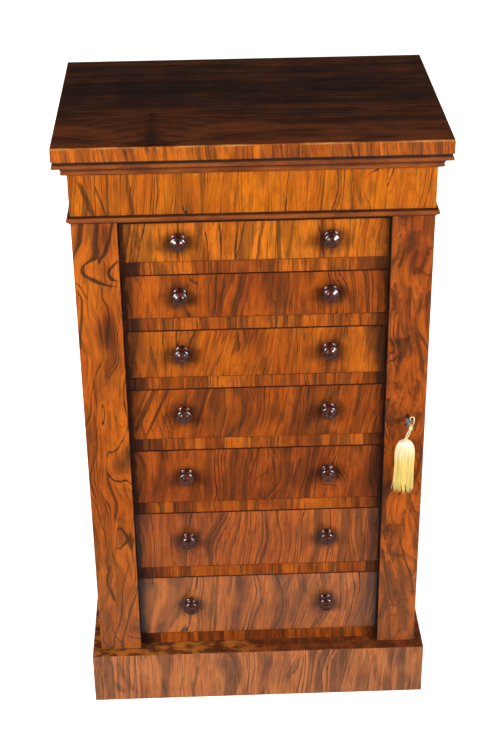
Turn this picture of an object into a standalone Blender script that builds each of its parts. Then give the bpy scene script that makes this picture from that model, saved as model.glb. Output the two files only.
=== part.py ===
"""Wellington chest with seven graduated drawers, a fixed left stile and a hinged locking stile.

Metres, +Z up. The origin is on the floor, under the middle of the chest's bounding box.
X runs to the right, Y to the back. Drawers slide out along -Y.
"""
import math

import bmesh
import bpy
from mathutils import Matrix, Vector

# Whole chest
HEIGHT = 1.055
TOP_WIDTH = 0.600
TOP_DEPTH = 0.408
TOP_THICK = 0.0225
OVERHANG = 0.021              # top board past the carcass, at the front and both sides
BACK_OVERHANG = 0.002
ARRIS = 0.0012                # rounding of the exposed long edges
GAP = 0.0003                  # joint line between neighbouring pieces
THROUGH = 0.002               # how far a cutter runs past the face it opens

# Plinth
PLINTH_HEIGHT = 0.100
PLINTH_FRONT_LEDGE = 0.020
PLINTH_SIDE_LEDGE = 0.015
PLINTH_THICK = 0.036
PLINTH_BACK_THICK = 0.020

# Carcass
SIDE_THICK = 0.020
BACK_THICK = 0.008
BACK_REBATE = 0.008
STILE_PROUD = 0.014           # stiles and frieze stand this far in front of the drawers
STILE_LEFT_WIDTH = 0.071
STILE_LOCK_WIDTH = 0.067
FRIEZE_DROP = 0.129           # top face down to the frieze's lower edge
OPENING_DROP = 0.136          # top face down to the first drawer opening
POST_DEPTH = 0.030
RAIL_HEIGHT = 0.0215
RAIL_PAST_POST = 0.015
DUSTBOARD_THICK = 0.010
HOUSING_DEPTH = 0.006
GUIDE_HEIGHT = 0.012
GUIDE_SINK = 0.001            # glue depth of a guide in its dustboard

# Mouldings: heights below the top board, and how far they stand out of the frieze
QUIRK_HEIGHT = 0.0045
QUIRK_SET_BACK = 0.003
NOSE_RADIUS = 0.0033
CAVETTO_RADIUS = 0.0064
OVOLO_OUT = 0.0090
OVOLO_HEIGHT = 0.0080
CORNICE_FOOT = 0.0025
ASTRAGAL_FILLET = 0.0020
ASTRAGAL_RADIUS = 0.0043
ASTRAGAL_OUT = 0.0060
ASTRAGAL_FOOT = 0.0016

# Drawers
DRAWER_COUNT = 7
DRAWER_STEP = 0.0093          # each opening is this much taller than the one above it
DRAWER_END_GAP = 0.0006
DRAWER_RUN_GAP = 0.0005
DRAWER_TOP_GAP = 0.0013
DRAWER_BACK_GAP = 0.0008
DRAWER_ARRIS = 0.0005
FRONT_THICK = 0.020
DRAWER_SIDE_THICK = 0.008
DRAWER_BACK_THICK = 0.008
SIDE_DROP = 0.004             # drawer sides end this far below the top of the front
BOTTOM_THICK = 0.006
BOTTOM_RISE = 0.005
BOTTOM_GROOVE = 0.004
TAIL_LENGTH = 0.014
TAIL_PITCH = 0.024
TAIL_SHARE = 0.70
TAIL_SLOPE = 1 / 6

# Knobs: turned, with a beaded collar on the drawer front, a neck, and a domed head
KNOB_INSET = 0.0912           # drawer opening's end to the knob's axis
KNOB_RISE = 0.004             # axis above the middle of the opening
KNOB_RADIUS = 0.0130
KNOB_REACH = 0.0225
KNOB_RIM_RADIUS = 0.0036      # half thickness of the head's round edge
KNOB_DOME_RISE = 0.0054       # face's middle in front of the edge
KNOB_NECK_RADIUS = 0.0068
KNOB_NECK_HEIGHT = 0.0072
KNOB_COLLAR_RADIUS = 0.0116
KNOB_COLLAR_BEAD = 0.0020     # half thickness of the collar
KNOB_PEG_RADIUS = 0.0040
KNOB_PEG_LENGTH = 0.0110
KNOB_SEGMENTS = 16

# Locking stile: it swings on pins let into the frieze and the plinth
HINGE_RADIUS = 0.008
FLAP_END_GAP = 0.0008
PIVOT_PLATE_LENGTH = 0.044
PIVOT_PLATE_WIDTH = 0.008
PIVOT_PLATE_THICK = 0.0027
PIVOT_PIN_RADIUS = 0.0025
PIVOT_PIN_DEPTH = 0.010

# Lock and key
KEY_HEIGHT = 0.568
KEY_OFF_CENTRE = 0.004        # keyhole to the right of the stile's middle
LOCK_WIDTH = 0.030
LOCK_HEIGHT = 0.055
LOCK_THICK = 0.0140
LOCK_LET_IN = 0.007
LOCK_CAP = 0.0025
KEY_EDGE = 0.0085             # key axis to the lock case's hinge side
WARD_RADIUS = 0.0070
WARD_DEPTH = 0.0040
BOLT_LENGTH = 0.014
BOLT_WIDTH = 0.008
BOLT_THICK = 0.0046
BOLT_DROP = 0.014             # bolt's middle below the key axis
BOLT_CLEAR = 0.0008           # bolt behind the stile's back face
BOLT_THROW = 0.0085
POCKET_SWING = 0.0035         # room for the lock case's corner as the stile swings
POCKET_MARGIN = 0.001
MORTISE_PAST = 0.0015
KEYHOLE_RADIUS = 0.0038
KEYHOLE_SLOT = 0.0034
KEYHOLE_DROP = 0.0072
KEY_SHANK_RADIUS = 0.0026
KEY_STEM_RADIUS = 0.0013      # stem across the bow
KEY_COLLAR_RADIUS = 0.0036
KEY_COLLAR_LENGTH = 0.0016
KEY_BOW_HALF = 0.0080         # bow's middle line, across the key
KEY_BOW_DEPTH = 0.0056        # and along it
KEY_BOW_DENT = 0.0015         # how far the bow dips in at the collar
KEY_WIRE_RADIUS = 0.0015
KEY_REACH = 0.026             # front of the bow, out from the stile's face
KEY_TURN = math.radians(42)   # how far the bow stands turned from upright, clockwise
KEY_BIT_REACH = 0.0062
KEY_BIT_WIDTH = 0.0030
KEY_BIT_THICK = 0.0020

# Tassel on the key
TASSEL_LENGTH = 0.103
TASSEL_WIDTH = 0.034
TASSEL_THICK = 0.024
TASSEL_DROP = 0.0338          # key axis down to the tassel's top
TASSEL_SHIFT = -0.0040
TASSEL_STAND_OFF = 0.0006
TASSEL_FLUTES = 14
FLUTE_SHARE = 0.045
FRINGE_RAGGED = 0.0025
LOOP_CORD_RADIUS = 0.00085
LOOP_ROOM = 0.0009            # between the cord and the bow's wire
LOOP_PULL_LEFT = (0.0044, -0.0080)    # what each side of the loop bends towards,
LOOP_PULL_RIGHT = (0.0110, -0.0120)   # right of and above the key's axis

# Places that follow from the sizes
KEY_PAST_TOP = max(KEY_REACH - OVERHANG, 0.0)
TOP_FRONT = (KEY_PAST_TOP - TOP_DEPTH) / 2
TOP_BACK = TOP_FRONT + TOP_DEPTH
FACE = TOP_FRONT + OVERHANG
DRAWER_FACE = FACE + STILE_PROUD
CARCASS_BACK = TOP_BACK - BACK_OVERHANG
PANEL_FRONT = CARCASS_BACK - BACK_THICK
SIDE_OUT = TOP_WIDTH / 2 - OVERHANG
SIDE_IN = SIDE_OUT - SIDE_THICK
OPENING_LEFT = -SIDE_OUT + STILE_LEFT_WIDTH
OPENING_RIGHT = SIDE_OUT - STILE_LOCK_WIDTH
CARCASS_TOP = HEIGHT - TOP_THICK
FRIEZE_BOTTOM = HEIGHT - FRIEZE_DROP
OPENING_TOP = HEIGHT - OPENING_DROP
POST_BACK = DRAWER_FACE + POST_DEPTH
RAIL_BACK = POST_BACK + RAIL_PAST_POST
HOUSED = SIDE_IN + HOUSING_DEPTH
HINGE_X = SIDE_OUT - HINGE_RADIUS
HINGE_Y = DRAWER_FACE - GAP - HINGE_RADIUS
FLAP_BACK = DRAWER_FACE - GAP
FLAP_BOTTOM = PLINTH_HEIGHT + FLAP_END_GAP
FLAP_TOP = FRIEZE_BOTTOM - FLAP_END_GAP
KEY_X = (OPENING_RIGHT + SIDE_OUT) / 2 + KEY_OFF_CENTRE
LOCK_LEFT = KEY_X + KEY_EDGE - LOCK_WIDTH
LOCK_FRONT = FLAP_BACK - LOCK_LET_IN
LOCK_BACK = LOCK_FRONT + LOCK_THICK
BOLT_Z = KEY_HEIGHT - BOLT_DROP
BOLT_FRONT = FLAP_BACK + BOLT_CLEAR
BOW_Y = FACE - KEY_REACH + KEY_BOW_DEPTH + KEY_WIRE_RADIUS
HOLD_X = KEY_X + KEY_BOW_HALF * math.sin(KEY_TURN)
HOLD_Z = KEY_HEIGHT + KEY_BOW_HALF * math.cos(KEY_TURN)

WOOD_ORANGE = (0.42, 0.135, 0.030, 1)
WOOD_BROWN = (0.20, 0.065, 0.022, 1)
WOOD_DARK = (0.075, 0.026, 0.016, 1)
WOOD_PALE = (0.38, 0.22, 0.10, 1)
ROSEWOOD = (0.030, 0.009, 0.007, 1)
BRASS = (0.60, 0.40, 0.15, 1)
IRON = (0.035, 0.032, 0.032, 1)
SILK = (0.72, 0.52, 0.17, 1)


def clear_scene():
    for obj in list(bpy.data.objects):
        bpy.data.objects.remove(obj, do_unlink=True)


def make_collection(name):
    collection = bpy.data.collections.new(name)
    bpy.context.scene.collection.children.link(collection)
    return collection


def material(name, colour, roughness, metallic=0.0):
    mat = bpy.data.materials.new(name)
    mat.use_nodes = True
    shader = mat.node_tree.nodes["Principled BSDF"]
    shader.inputs["Base Color"].default_value = colour
    shader.inputs["Roughness"].default_value = roughness
    shader.inputs["Metallic"].default_value = metallic
    return mat


def paint(obj, colour, roughness, metallic=0.0):
    obj.data.materials.clear()
    obj.data.materials.append(material(obj.name, colour, roughness, metallic))
    return obj


def place(name, mesh, home, origin):
    """An object in its collection, with its origin at a point of the chest."""
    obj = bpy.data.objects.new(name, mesh)
    obj.location = origin
    home.objects.link(obj)
    if home is CUTTERS:
        obj.hide_render = True
        obj.display_type = 'WIRE'
    return obj


def mesh_from(bm, name):
    mesh = bpy.data.meshes.new(name)
    bm.to_mesh(mesh)
    bm.free()
    return mesh


def block(name, low, high, home, origin=None, rounding=0.0):
    """A box between two corners of the chest's frame."""
    low, high = Vector(low), Vector(high)
    centre = (low + high) / 2
    origin = centre if origin is None else Vector(origin)
    bm = bmesh.new()
    bmesh.ops.create_cube(bm, size=1)
    bmesh.ops.scale(bm, vec=high - low, verts=bm.verts)
    bmesh.ops.translate(bm, vec=centre - origin, verts=bm.verts)
    obj = place(name, mesh_from(bm, name), home, origin)
    if rounding:
        bevel = obj.modifiers.new("arris", 'BEVEL')
        bevel.width = rounding
        bevel.segments = 2
    return obj


def rod(name, start, direction, radius, length, home, segments=20):
    """A round bar from a point, along a direction."""
    bm = bmesh.new()
    bmesh.ops.create_cone(bm, cap_ends=True, segments=segments, radius1=radius, radius2=radius,
                          depth=length)
    bmesh.ops.translate(bm, vec=(0, 0, length / 2), verts=bm.verts)
    turn = Vector((0, 0, 1)).rotation_difference(Vector(direction)).to_matrix()
    bmesh.ops.rotate(bm, cent=(0, 0, 0), matrix=turn, verts=bm.verts)
    return place(name, mesh_from(bm, name), home, start)


def mesh_of_curve(name, obj, home, origin):
    """The mesh of a curve object, welded, in the curve's place."""
    bpy.context.view_layer.update()
    evaluated = obj.evaluated_get(bpy.context.evaluated_depsgraph_get())
    mesh = bpy.data.meshes.new_from_object(evaluated)
    matrix = obj.matrix_world.copy()
    bpy.data.objects.remove(obj, do_unlink=True)
    bm = bmesh.new()
    bm.from_mesh(mesh)
    bpy.data.meshes.remove(mesh)
    bmesh.ops.transform(bm, matrix=Matrix.Translation(-Vector(origin)) @ matrix, verts=bm.verts)
    bmesh.ops.remove_doubles(bm, verts=bm.verts, dist=0.00001)
    bmesh.ops.recalc_face_normals(bm, faces=bm.faces)
    return place(name, mesh_from(bm, name), home, origin)


def flat_outline(name, outlines, plane, low, high, home, origin=(0, 0, 0)):
    """One or more flat outlines in the XY or YZ plane, thick from low to high."""
    curve = bpy.data.curves.new(name, 'CURVE')
    curve.dimensions = '2D'
    curve.fill_mode = 'BOTH'
    curve.extrude = (high - low) / 2
    for points in outlines:
        spline = curve.splines.new('POLY')
        spline.points.add(len(points) - 1)
        for point, (u, v) in zip(spline.points, points):
            point.co = (u, v, 0, 1)
        spline.use_cyclic_u = True
    obj = bpy.data.objects.new(name, curve)
    bpy.context.scene.collection.objects.link(obj)
    middle = (low + high) / 2
    if plane == 'YZ':
        obj.rotation_euler = (math.pi / 2, 0, math.pi / 2)
        obj.location = (middle, 0, 0)
    else:
        obj.location = (0, 0, middle)
    return mesh_of_curve(name, obj, home, origin)


def boolean(obj, other, operation):
    modifier = obj.modifiers.new(other.name, 'BOOLEAN')
    modifier.operation = operation
    modifier.object = other
    modifier.solver = 'EXACT'
    return obj


def cut(obj, *cutters):
    for cutter in cutters:
        boolean(obj, cutter, 'DIFFERENCE')
    return obj


def join(obj, *pieces):
    for piece in pieces:
        boolean(obj, piece, 'UNION')
    return obj


def place_of(obj):
    """Where an object's origin is in the chest, through the empties it hangs on."""
    return obj.location + place_of(obj.parent) if obj.parent else obj.location.copy()


def hang(empty, *pieces):
    """Parents pieces to an empty on their joint's axis and keeps them where they are."""
    for piece in pieces:
        piece.parent = empty
        piece.location = piece.location - place_of(empty)


def joint_empty(name, location, parent=None):
    empty = bpy.data.objects.new(name, None)
    empty.empty_display_size = 0.02
    empty.location = location
    CHEST.objects.link(empty)
    if parent:
        hang(parent, empty)
    return empty


def smooth(obj, degrees=35):
    obj.data.shade_smooth()
    obj.data.set_sharp_from_angle(angle=math.radians(degrees))
    return obj


def arc(centre, radius, start, end, steps):
    """Points on an arc, angles in degrees, both ends included."""
    angles = [math.radians(start + (end - start) * i / steps) for i in range(steps + 1)]
    return [(centre[0] + radius * math.cos(a), centre[1] + radius * math.sin(a)) for a in angles]


def mitred_moulding(name, profile):
    """A profile of (out, height) points run round the front and sides, mitred at the corners."""
    bm = bmesh.new()
    runs = []
    for out, height in profile:
        side = SIDE_OUT + out
        front = FACE - out
        stations = ((-side, CARCASS_BACK), (-side, front), (side, front), (side, CARCASS_BACK))
        runs.append([bm.verts.new((x, y, height)) for x, y in stations])
    for run, following in zip(runs, runs[1:] + runs[:1]):
        for i in range(3):
            bm.faces.new((run[i], run[i + 1], following[i + 1], following[i]))
    bm.faces.new([run[0] for run in runs])
    bm.faces.new([run[3] for run in reversed(runs)])
    bmesh.ops.recalc_face_normals(bm, faces=bm.faces)
    return smooth(place(name, mesh_from(bm, name), CHEST, (0, 0, 0)))


def drawer_openings():
    """Lower and upper height of each drawer opening, from the top one down."""
    steps = DRAWER_COUNT * (DRAWER_COUNT - 1) / 2 * DRAWER_STEP
    clear = OPENING_TOP - PLINTH_HEIGHT - DRAWER_COUNT * RAIL_HEIGHT
    first = (clear - steps) / DRAWER_COUNT
    openings = []
    upper = OPENING_TOP
    for index in range(DRAWER_COUNT):
        lower = upper - first - index * DRAWER_STEP
        openings.append((lower, upper))
        upper = lower - RAIL_HEIGHT
    return openings


def rail_outline(face_height, grow, front, downwards=True):
    """The L of a rail with its dustboard, which lies flush with the rail's running face."""
    sign = -1 if downwards else 1
    running = face_height - sign * grow
    rail_end = face_height + sign * (RAIL_HEIGHT + grow)
    board_end = face_height + sign * (DUSTBOARD_THICK + grow)
    back = PANEL_FRONT - GAP + grow
    return [(front, running), (front, rail_end), (RAIL_BACK + grow, rail_end),
            (RAIL_BACK + grow, board_end), (back, board_end), (back, running)]


def build_rail(name, face_height, downwards=True, guides=True, notched=True, shorten=0.0):
    """A drawer rail and its dustboard, housed in the sides, with the drawer guides on it."""
    outline = rail_outline(face_height, 0.0, DRAWER_FACE, downwards)
    if shorten:
        outline = [(y, max(z, face_height - RAIL_HEIGHT + shorten)) for y, z in outline]
    reach = HOUSED - GAP
    rail = flat_outline(name, [outline], 'YZ', -reach, reach, CHEST)
    if notched:
        low = (OPENING_RIGHT, DRAWER_FACE - THROUGH, face_height - 2 * RAIL_HEIGHT)
        high = (HOUSED + THROUGH, POST_BACK + GAP, face_height + RAIL_HEIGHT)
        cut(rail, block(name + "_post_notch", low, high, CUTTERS))
    if guides:
        base = face_height - GUIDE_SINK
        crown = face_height + GUIDE_HEIGHT
        back = PANEL_FRONT - 2 * GAP
        join(rail,
             block(name + "_guide_left", (-SIDE_IN + GAP, DRAWER_FACE + GAP, base),
                   (OPENING_LEFT - GAP, back, crown), CUTTERS),
             block(name + "_guide_right", (OPENING_RIGHT + GAP, POST_BACK + 2 * GAP, base),
                   (SIDE_IN - GAP, back, crown), CUTTERS))
    return paint(rail, WOOD_BROWN, 0.35)


def build_rails(openings):
    build_rail("top_rail", OPENING_TOP, downwards=False, guides=False, notched=False)
    for number, (lower, _) in enumerate(openings[:-1], 1):
        build_rail(f"dustboard_{number}", lower)
    build_rail("bottom_board", openings[-1][0], notched=False, shorten=GAP)


def build_side(name, sign, openings):
    """A carcass side with its housings for the rails and its rebate for the back."""
    xs = sorted((sign * SIDE_IN, sign * SIDE_OUT))
    side = block(name, (xs[0], DRAWER_FACE, PLINTH_HEIGHT + GAP),
                 (xs[1], CARCASS_BACK, CARCASS_TOP - GAP), CHEST)
    housing = sorted((sign * (SIDE_IN - THROUGH), sign * HOUSED))
    levels = [(OPENING_TOP, False)] + [(lower, True) for lower, _ in openings]
    for number, (height, downwards) in enumerate(levels):
        stopped = sign > 0 and 0 < number < DRAWER_COUNT
        front = POST_BACK if stopped else DRAWER_FACE - THROUGH
        outline = rail_outline(height, GAP, front, downwards)
        cut(side, flat_outline(f"{name}_housing_{number}", [outline], 'YZ', *housing, CUTTERS))
    rebate = sorted((sign * (SIDE_IN - THROUGH), sign * (SIDE_IN + BACK_REBATE)))
    cut(side, block(name + "_rebate", (rebate[0], PANEL_FRONT - GAP, 0),
                    (rebate[1], CARCASS_BACK + THROUGH, HEIGHT), CUTTERS))
    return paint(side, WOOD_BROWN, 0.35)


def build_back():
    edge = SIDE_IN + BACK_REBATE - GAP
    panel = block("back_panel", (-edge, PANEL_FRONT, PLINTH_HEIGHT + GAP),
                  (edge, CARCASS_BACK, CARCASS_TOP - GAP), CHEST)
    paint(panel, WOOD_PALE, 0.6)


def build_plinth():
    """A hollow ring that the carcass stands on, with a bore for the locking stile's pin."""
    side = SIDE_OUT + PLINTH_SIDE_LEDGE
    front = FACE - PLINTH_FRONT_LEDGE
    ring = block("plinth", (-side, front, 0), (side, CARCASS_BACK, PLINTH_HEIGHT), CHEST,
                 rounding=ARRIS)
    hollow = block("plinth_hollow",
                   (-side + PLINTH_THICK, front + PLINTH_THICK, -THROUGH),
                   (side - PLINTH_THICK, CARCASS_BACK - PLINTH_BACK_THICK,
                    PLINTH_HEIGHT + THROUGH), CUTTERS)
    bore = rod("plinth_pin_bore", (HINGE_X, HINGE_Y, PLINTH_HEIGHT - PIVOT_PIN_DEPTH - GAP),
               (0, 0, 1), PIVOT_PIN_RADIUS + GAP, PIVOT_PIN_DEPTH + 2 * THROUGH, CUTTERS)
    cut(ring, hollow, bore)
    paint(ring, WOOD_ORANGE, 0.3)


def build_top():
    top = block("top_board", (-TOP_WIDTH / 2, TOP_FRONT, CARCASS_TOP),
                (TOP_WIDTH / 2, TOP_BACK, HEIGHT), CHEST, rounding=ARRIS)
    paint(top, WOOD_DARK, 0.25)


def build_frieze():
    board = block("frieze_board", (-SIDE_OUT, FACE, FRIEZE_BOTTOM),
                  (SIDE_OUT, FLAP_BACK, CARCASS_TOP - GAP), CHEST)
    bore = rod("frieze_pin_bore", (HINGE_X, HINGE_Y, FRIEZE_BOTTOM - THROUGH), (0, 0, 1),
               PIVOT_PIN_RADIUS + GAP, PIVOT_PIN_DEPTH + GAP + THROUGH, CUTTERS)
    cut(board, bore)
    paint(board, WOOD_ORANGE, 0.3)


def build_cornice():
    """Quirk, round nose, cavetto and small ovolo under the top board, from the top down."""
    crown = CARCASS_TOP - GAP
    nose_z = crown - QUIRK_HEIGHT - NOSE_RADIUS
    nose_out = OVERHANG - NOSE_RADIUS
    cavetto_top = nose_z - NOSE_RADIUS
    cavetto_out = OVOLO_OUT + CAVETTO_RADIUS
    ovolo_top = cavetto_top - CAVETTO_RADIUS
    ovolo_foot = ovolo_top - OVOLO_HEIGHT
    profile = [(GAP, crown), (OVERHANG - QUIRK_SET_BACK, crown),
               (OVERHANG - QUIRK_SET_BACK, crown - QUIRK_HEIGHT)]
    profile += arc((nose_out, nose_z), NOSE_RADIUS, 80, -90, 7)
    profile += arc((cavetto_out, ovolo_top), CAVETTO_RADIUS, 90, 180, 5)
    profile += arc((OVOLO_OUT - OVOLO_HEIGHT / 2, ovolo_top - OVOLO_HEIGHT / 2),
                   OVOLO_HEIGHT / 2, 60, -60, 4)
    profile += [(OVOLO_OUT - OVOLO_HEIGHT / 2, ovolo_foot), (GAP, ovolo_foot - CORNICE_FOOT)]
    paint(mitred_moulding("cornice_moulding", profile), WOOD_BROWN, 0.3)


def build_astragal():
    """The bead along the frieze's lower edge, between two fillets."""
    foot = FRIEZE_BOTTOM
    bead_z = foot + ASTRAGAL_FOOT + ASTRAGAL_RADIUS
    bead_out = ASTRAGAL_OUT - ASTRAGAL_RADIUS
    head = bead_z + ASTRAGAL_RADIUS
    profile = [(GAP, head + ASTRAGAL_FILLET), (bead_out + GAP, head + ASTRAGAL_FILLET)]
    profile += arc((bead_out, bead_z), ASTRAGAL_RADIUS, 90, -90, 8)
    profile += [(bead_out, foot), (GAP, foot)]
    paint(mitred_moulding("astragal_moulding", profile), WOOD_BROWN, 0.3)


def build_left_stile():
    stile = block("stile_left", (-SIDE_OUT, FACE, PLINTH_HEIGHT + GAP),
                  (OPENING_LEFT, FLAP_BACK, FRIEZE_BOTTOM - GAP), CHEST, rounding=ARRIS)
    paint(stile, WOOD_ORANGE, 0.3)


def keyhole_cutters(name, front, back):
    """A round hole with the slot under it that lets the key's bit through."""
    hole = rod(name + "_round", (KEY_X, front, KEY_HEIGHT), (0, 1, 0), KEYHOLE_RADIUS,
               back - front, CUTTERS)
    slot = block(name + "_slot",
                 (KEY_X - KEYHOLE_SLOT / 2, front, KEY_HEIGHT - KEYHOLE_DROP),
                 (KEY_X + KEYHOLE_SLOT / 2, back, KEY_HEIGHT), CUTTERS)
    return hole, slot


def pivot_plate(name, end_height, inwards):
    """A pivot's plate, flush in the stile's end, with its pin. inwards is -1 at the top end."""
    half = PIVOT_PLATE_WIDTH / 2
    right = HINGE_X + half
    left = right - PIVOT_PLATE_LENGTH
    heights = sorted((end_height, end_height + inwards * PIVOT_PLATE_THICK))
    plate = block(name, (left, HINGE_Y - half, heights[0]), (right, HINGE_Y + half, heights[1]),
                  CHEST)
    pin_length = PIVOT_PLATE_THICK / 2 + FLAP_END_GAP + PIVOT_PIN_DEPTH - GAP
    start = end_height + inwards * PIVOT_PLATE_THICK / 2
    pin = rod(name + "_pin", (HINGE_X, HINGE_Y, start), (0, 0, -inwards), PIVOT_PIN_RADIUS,
              pin_length, CUTTERS, segments=16)
    join(plate, pin)
    recess = sorted((end_height - inwards * THROUGH,
                     end_height + inwards * (PIVOT_PLATE_THICK + GAP)))
    cutter = block(name + "_recess", (left - GAP, HINGE_Y - half - GAP, recess[0]),
                   (right + GAP, HINGE_Y + half + GAP, recess[1]), CUTTERS)
    return paint(plate, BRASS, 0.35, 1.0), cutter


def build_locking_stile(hinge):
    """The hinged stile. Its back edge at the hinge is rounded about the pin's axis."""
    left = OPENING_RIGHT
    outline = [(left, FLAP_BACK), (left, FACE + ARRIS), (left + ARRIS, FACE),
               (SIDE_OUT - ARRIS, FACE), (SIDE_OUT, FACE + ARRIS)]
    outline += arc((HINGE_X, HINGE_Y), HINGE_RADIUS, 0, 90, 7)
    stile = flat_outline("locking_stile", [outline], 'XY', FLAP_BOTTOM, FLAP_TOP, CHEST,
                         origin=(HINGE_X, HINGE_Y, 0))
    top, top_recess = pivot_plate("pivot_top", FLAP_TOP, -1)
    bottom, bottom_recess = pivot_plate("pivot_bottom", FLAP_BOTTOM, 1)
    lock_seat = block("lock_seat", (LOCK_LEFT - GAP, LOCK_FRONT - GAP,
                                    KEY_HEIGHT - LOCK_HEIGHT / 2 - GAP),
                      (LOCK_LEFT + LOCK_WIDTH + GAP, FLAP_BACK + THROUGH,
                       KEY_HEIGHT + LOCK_HEIGHT / 2 + GAP), CUTTERS)
    cut(stile, top_recess, bottom_recess, lock_seat,
        *keyhole_cutters("stile_keyhole", FACE - THROUGH, LOCK_FRONT + THROUGH))
    paint(smooth(stile), WOOD_ORANGE, 0.3)
    hang(hinge, stile, top, bottom)


def build_lock_post():
    """The post behind the locking stile, with a pocket for the lock and a mortise for the bolt."""
    bottom = drawer_openings()[-1][0] + GAP
    post = block("lock_post", (OPENING_RIGHT + GAP, DRAWER_FACE, bottom),
                 (SIDE_IN - GAP, POST_BACK, OPENING_TOP - GAP), CHEST)
    pocket_left = LOCK_LEFT - POCKET_SWING
    half = LOCK_HEIGHT / 2 + POCKET_MARGIN
    pocket = block("lock_pocket", (pocket_left, DRAWER_FACE - THROUGH, KEY_HEIGHT - half),
                   (SIDE_IN + THROUGH, LOCK_BACK + POCKET_MARGIN, KEY_HEIGHT + half), CUTTERS)
    mortise_end = LOCK_LEFT - BOLT_THROW - MORTISE_PAST
    reach = BOLT_WIDTH / 2 + POCKET_MARGIN
    mortise = block("bolt_mortise",
                    (mortise_end, BOLT_FRONT - POCKET_MARGIN, BOLT_Z - reach),
                    (pocket_left + THROUGH, BOLT_FRONT + BOLT_THICK + POCKET_MARGIN,
                     BOLT_Z + reach), CUTTERS)
    cut(post, pocket, mortise)
    paint(post, WOOD_PALE, 0.6)


def build_lock(hinge, bolt_empty):
    """The lock case with its keyhole, ward chamber and bolt slot, and the bolt."""
    case = block("lock_case",
                 (LOCK_LEFT, LOCK_FRONT, KEY_HEIGHT - LOCK_HEIGHT / 2),
                 (LOCK_LEFT + LOCK_WIDTH, LOCK_BACK, KEY_HEIGHT + LOCK_HEIGHT / 2), CHEST)
    chamber = rod("ward_chamber", (KEY_X, LOCK_FRONT + LOCK_CAP, KEY_HEIGHT), (0, 1, 0),
                  WARD_RADIUS, WARD_DEPTH, CUTTERS, segments=24)
    slot = block("bolt_slot",
                 (LOCK_LEFT - THROUGH, BOLT_FRONT - GAP, BOLT_Z - BOLT_WIDTH / 2 - GAP),
                 (LOCK_LEFT + BOLT_LENGTH + GAP, BOLT_FRONT + BOLT_THICK + GAP,
                  BOLT_Z + BOLT_WIDTH / 2 + GAP), CUTTERS)
    hole, key_slot = keyhole_cutters("case_keyhole", LOCK_FRONT - THROUGH,
                                     LOCK_FRONT + LOCK_CAP + THROUGH)
    cut(case, chamber, slot, hole, key_slot)
    paint(case, BRASS, 0.4, 1.0)
    bolt = block("lock_bolt", (LOCK_LEFT, BOLT_FRONT, BOLT_Z - BOLT_WIDTH / 2),
                 (LOCK_LEFT + BOLT_LENGTH, BOLT_FRONT + BOLT_THICK, BOLT_Z + BOLT_WIDTH / 2),
                 CHEST)
    paint(bolt, BRASS, 0.3, 1.0)
    hang(hinge, case)
    hang(bolt_empty, bolt)


def tube_along(name, points, radius, home, origin):
    """A round tube along a closed line of points."""
    curve = bpy.data.curves.new(name, 'CURVE')
    curve.dimensions = '3D'
    curve.bevel_depth = radius
    curve.bevel_resolution = 1
    spline = curve.splines.new('POLY')
    spline.points.add(len(points) - 1)
    for point, co in zip(spline.points, points):
        point.co = (*co, 1)
    spline.use_cyclic_u = True
    obj = bpy.data.objects.new(name, curve)
    bpy.context.scene.collection.objects.link(obj)
    return mesh_of_curve(name, obj, home, origin)


def build_key(key_empty):
    """Kidney bow with the stem across it, collar, shank and bit, all in one turned plane."""
    axis = Vector((KEY_X, BOW_Y, KEY_HEIGHT))
    bow = []
    for i in range(24):
        angle = 2 * math.pi * i / 24
        across = KEY_BOW_HALF * math.cos(angle)
        along = KEY_BOW_DEPTH * math.sin(angle)
        if along > 0:
            along -= KEY_BOW_DENT * math.exp(-(across / (KEY_BOW_HALF / 3)) ** 2)
        bow.append(axis + Vector((0, along, across)))
    key = tube_along("key", bow, KEY_WIRE_RADIUS, CHEST, axis)
    turn = Matrix.Rotation(KEY_TURN, 4, 'Y')
    key.data.transform(turn)
    bit_back = LOCK_FRONT + LOCK_CAP + WARD_DEPTH / 2 + KEY_BIT_WIDTH / 2
    stem_start = BOW_Y - KEY_BOW_DEPTH
    shank = rod("key_shank", (KEY_X, stem_start, KEY_HEIGHT), (0, 1, 0), KEY_STEM_RADIUS,
                bit_back - stem_start, CUTTERS, segments=12)
    collar_start = BOW_Y + KEY_BOW_DEPTH - KEY_BOW_DENT / 2
    thick = rod("key_barrel", (KEY_X, collar_start, KEY_HEIGHT), (0, 1, 0), KEY_SHANK_RADIUS,
                bit_back - GAP - collar_start, CUTTERS, segments=16)
    collar = rod("key_collar", (KEY_X, collar_start + KEY_COLLAR_LENGTH, KEY_HEIGHT), (0, 1, 0),
                 KEY_COLLAR_RADIUS, KEY_COLLAR_LENGTH, CUTTERS, segments=18)
    half = KEY_BIT_THICK / 2
    bit = block("key_bit",
                (KEY_X - half, bit_back - KEY_BIT_WIDTH, KEY_HEIGHT - KEY_BIT_REACH),
                (KEY_X + half, bit_back - 2 * GAP, KEY_HEIGHT), CUTTERS, origin=axis)
    bit.data.transform(turn)
    join(key, shank, thick, collar, bit)
    paint(smooth(key), IRON, 0.45, 0.8)
    hang(key_empty, key)


def tassel_rings():
    """(distance below the top, share of the full width) for each ring of the tassel."""
    return [(0.00, 0.10), (0.012, 0.30), (0.035, 0.50), (0.075, 0.69), (0.135, 0.85),
            (0.21, 0.96), (0.30, 1.00), (0.38, 0.98), (0.52, 0.945), (0.70, 0.93),
            (0.86, 0.945), (0.95, 0.93), (1.00, 0.84)]


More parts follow.
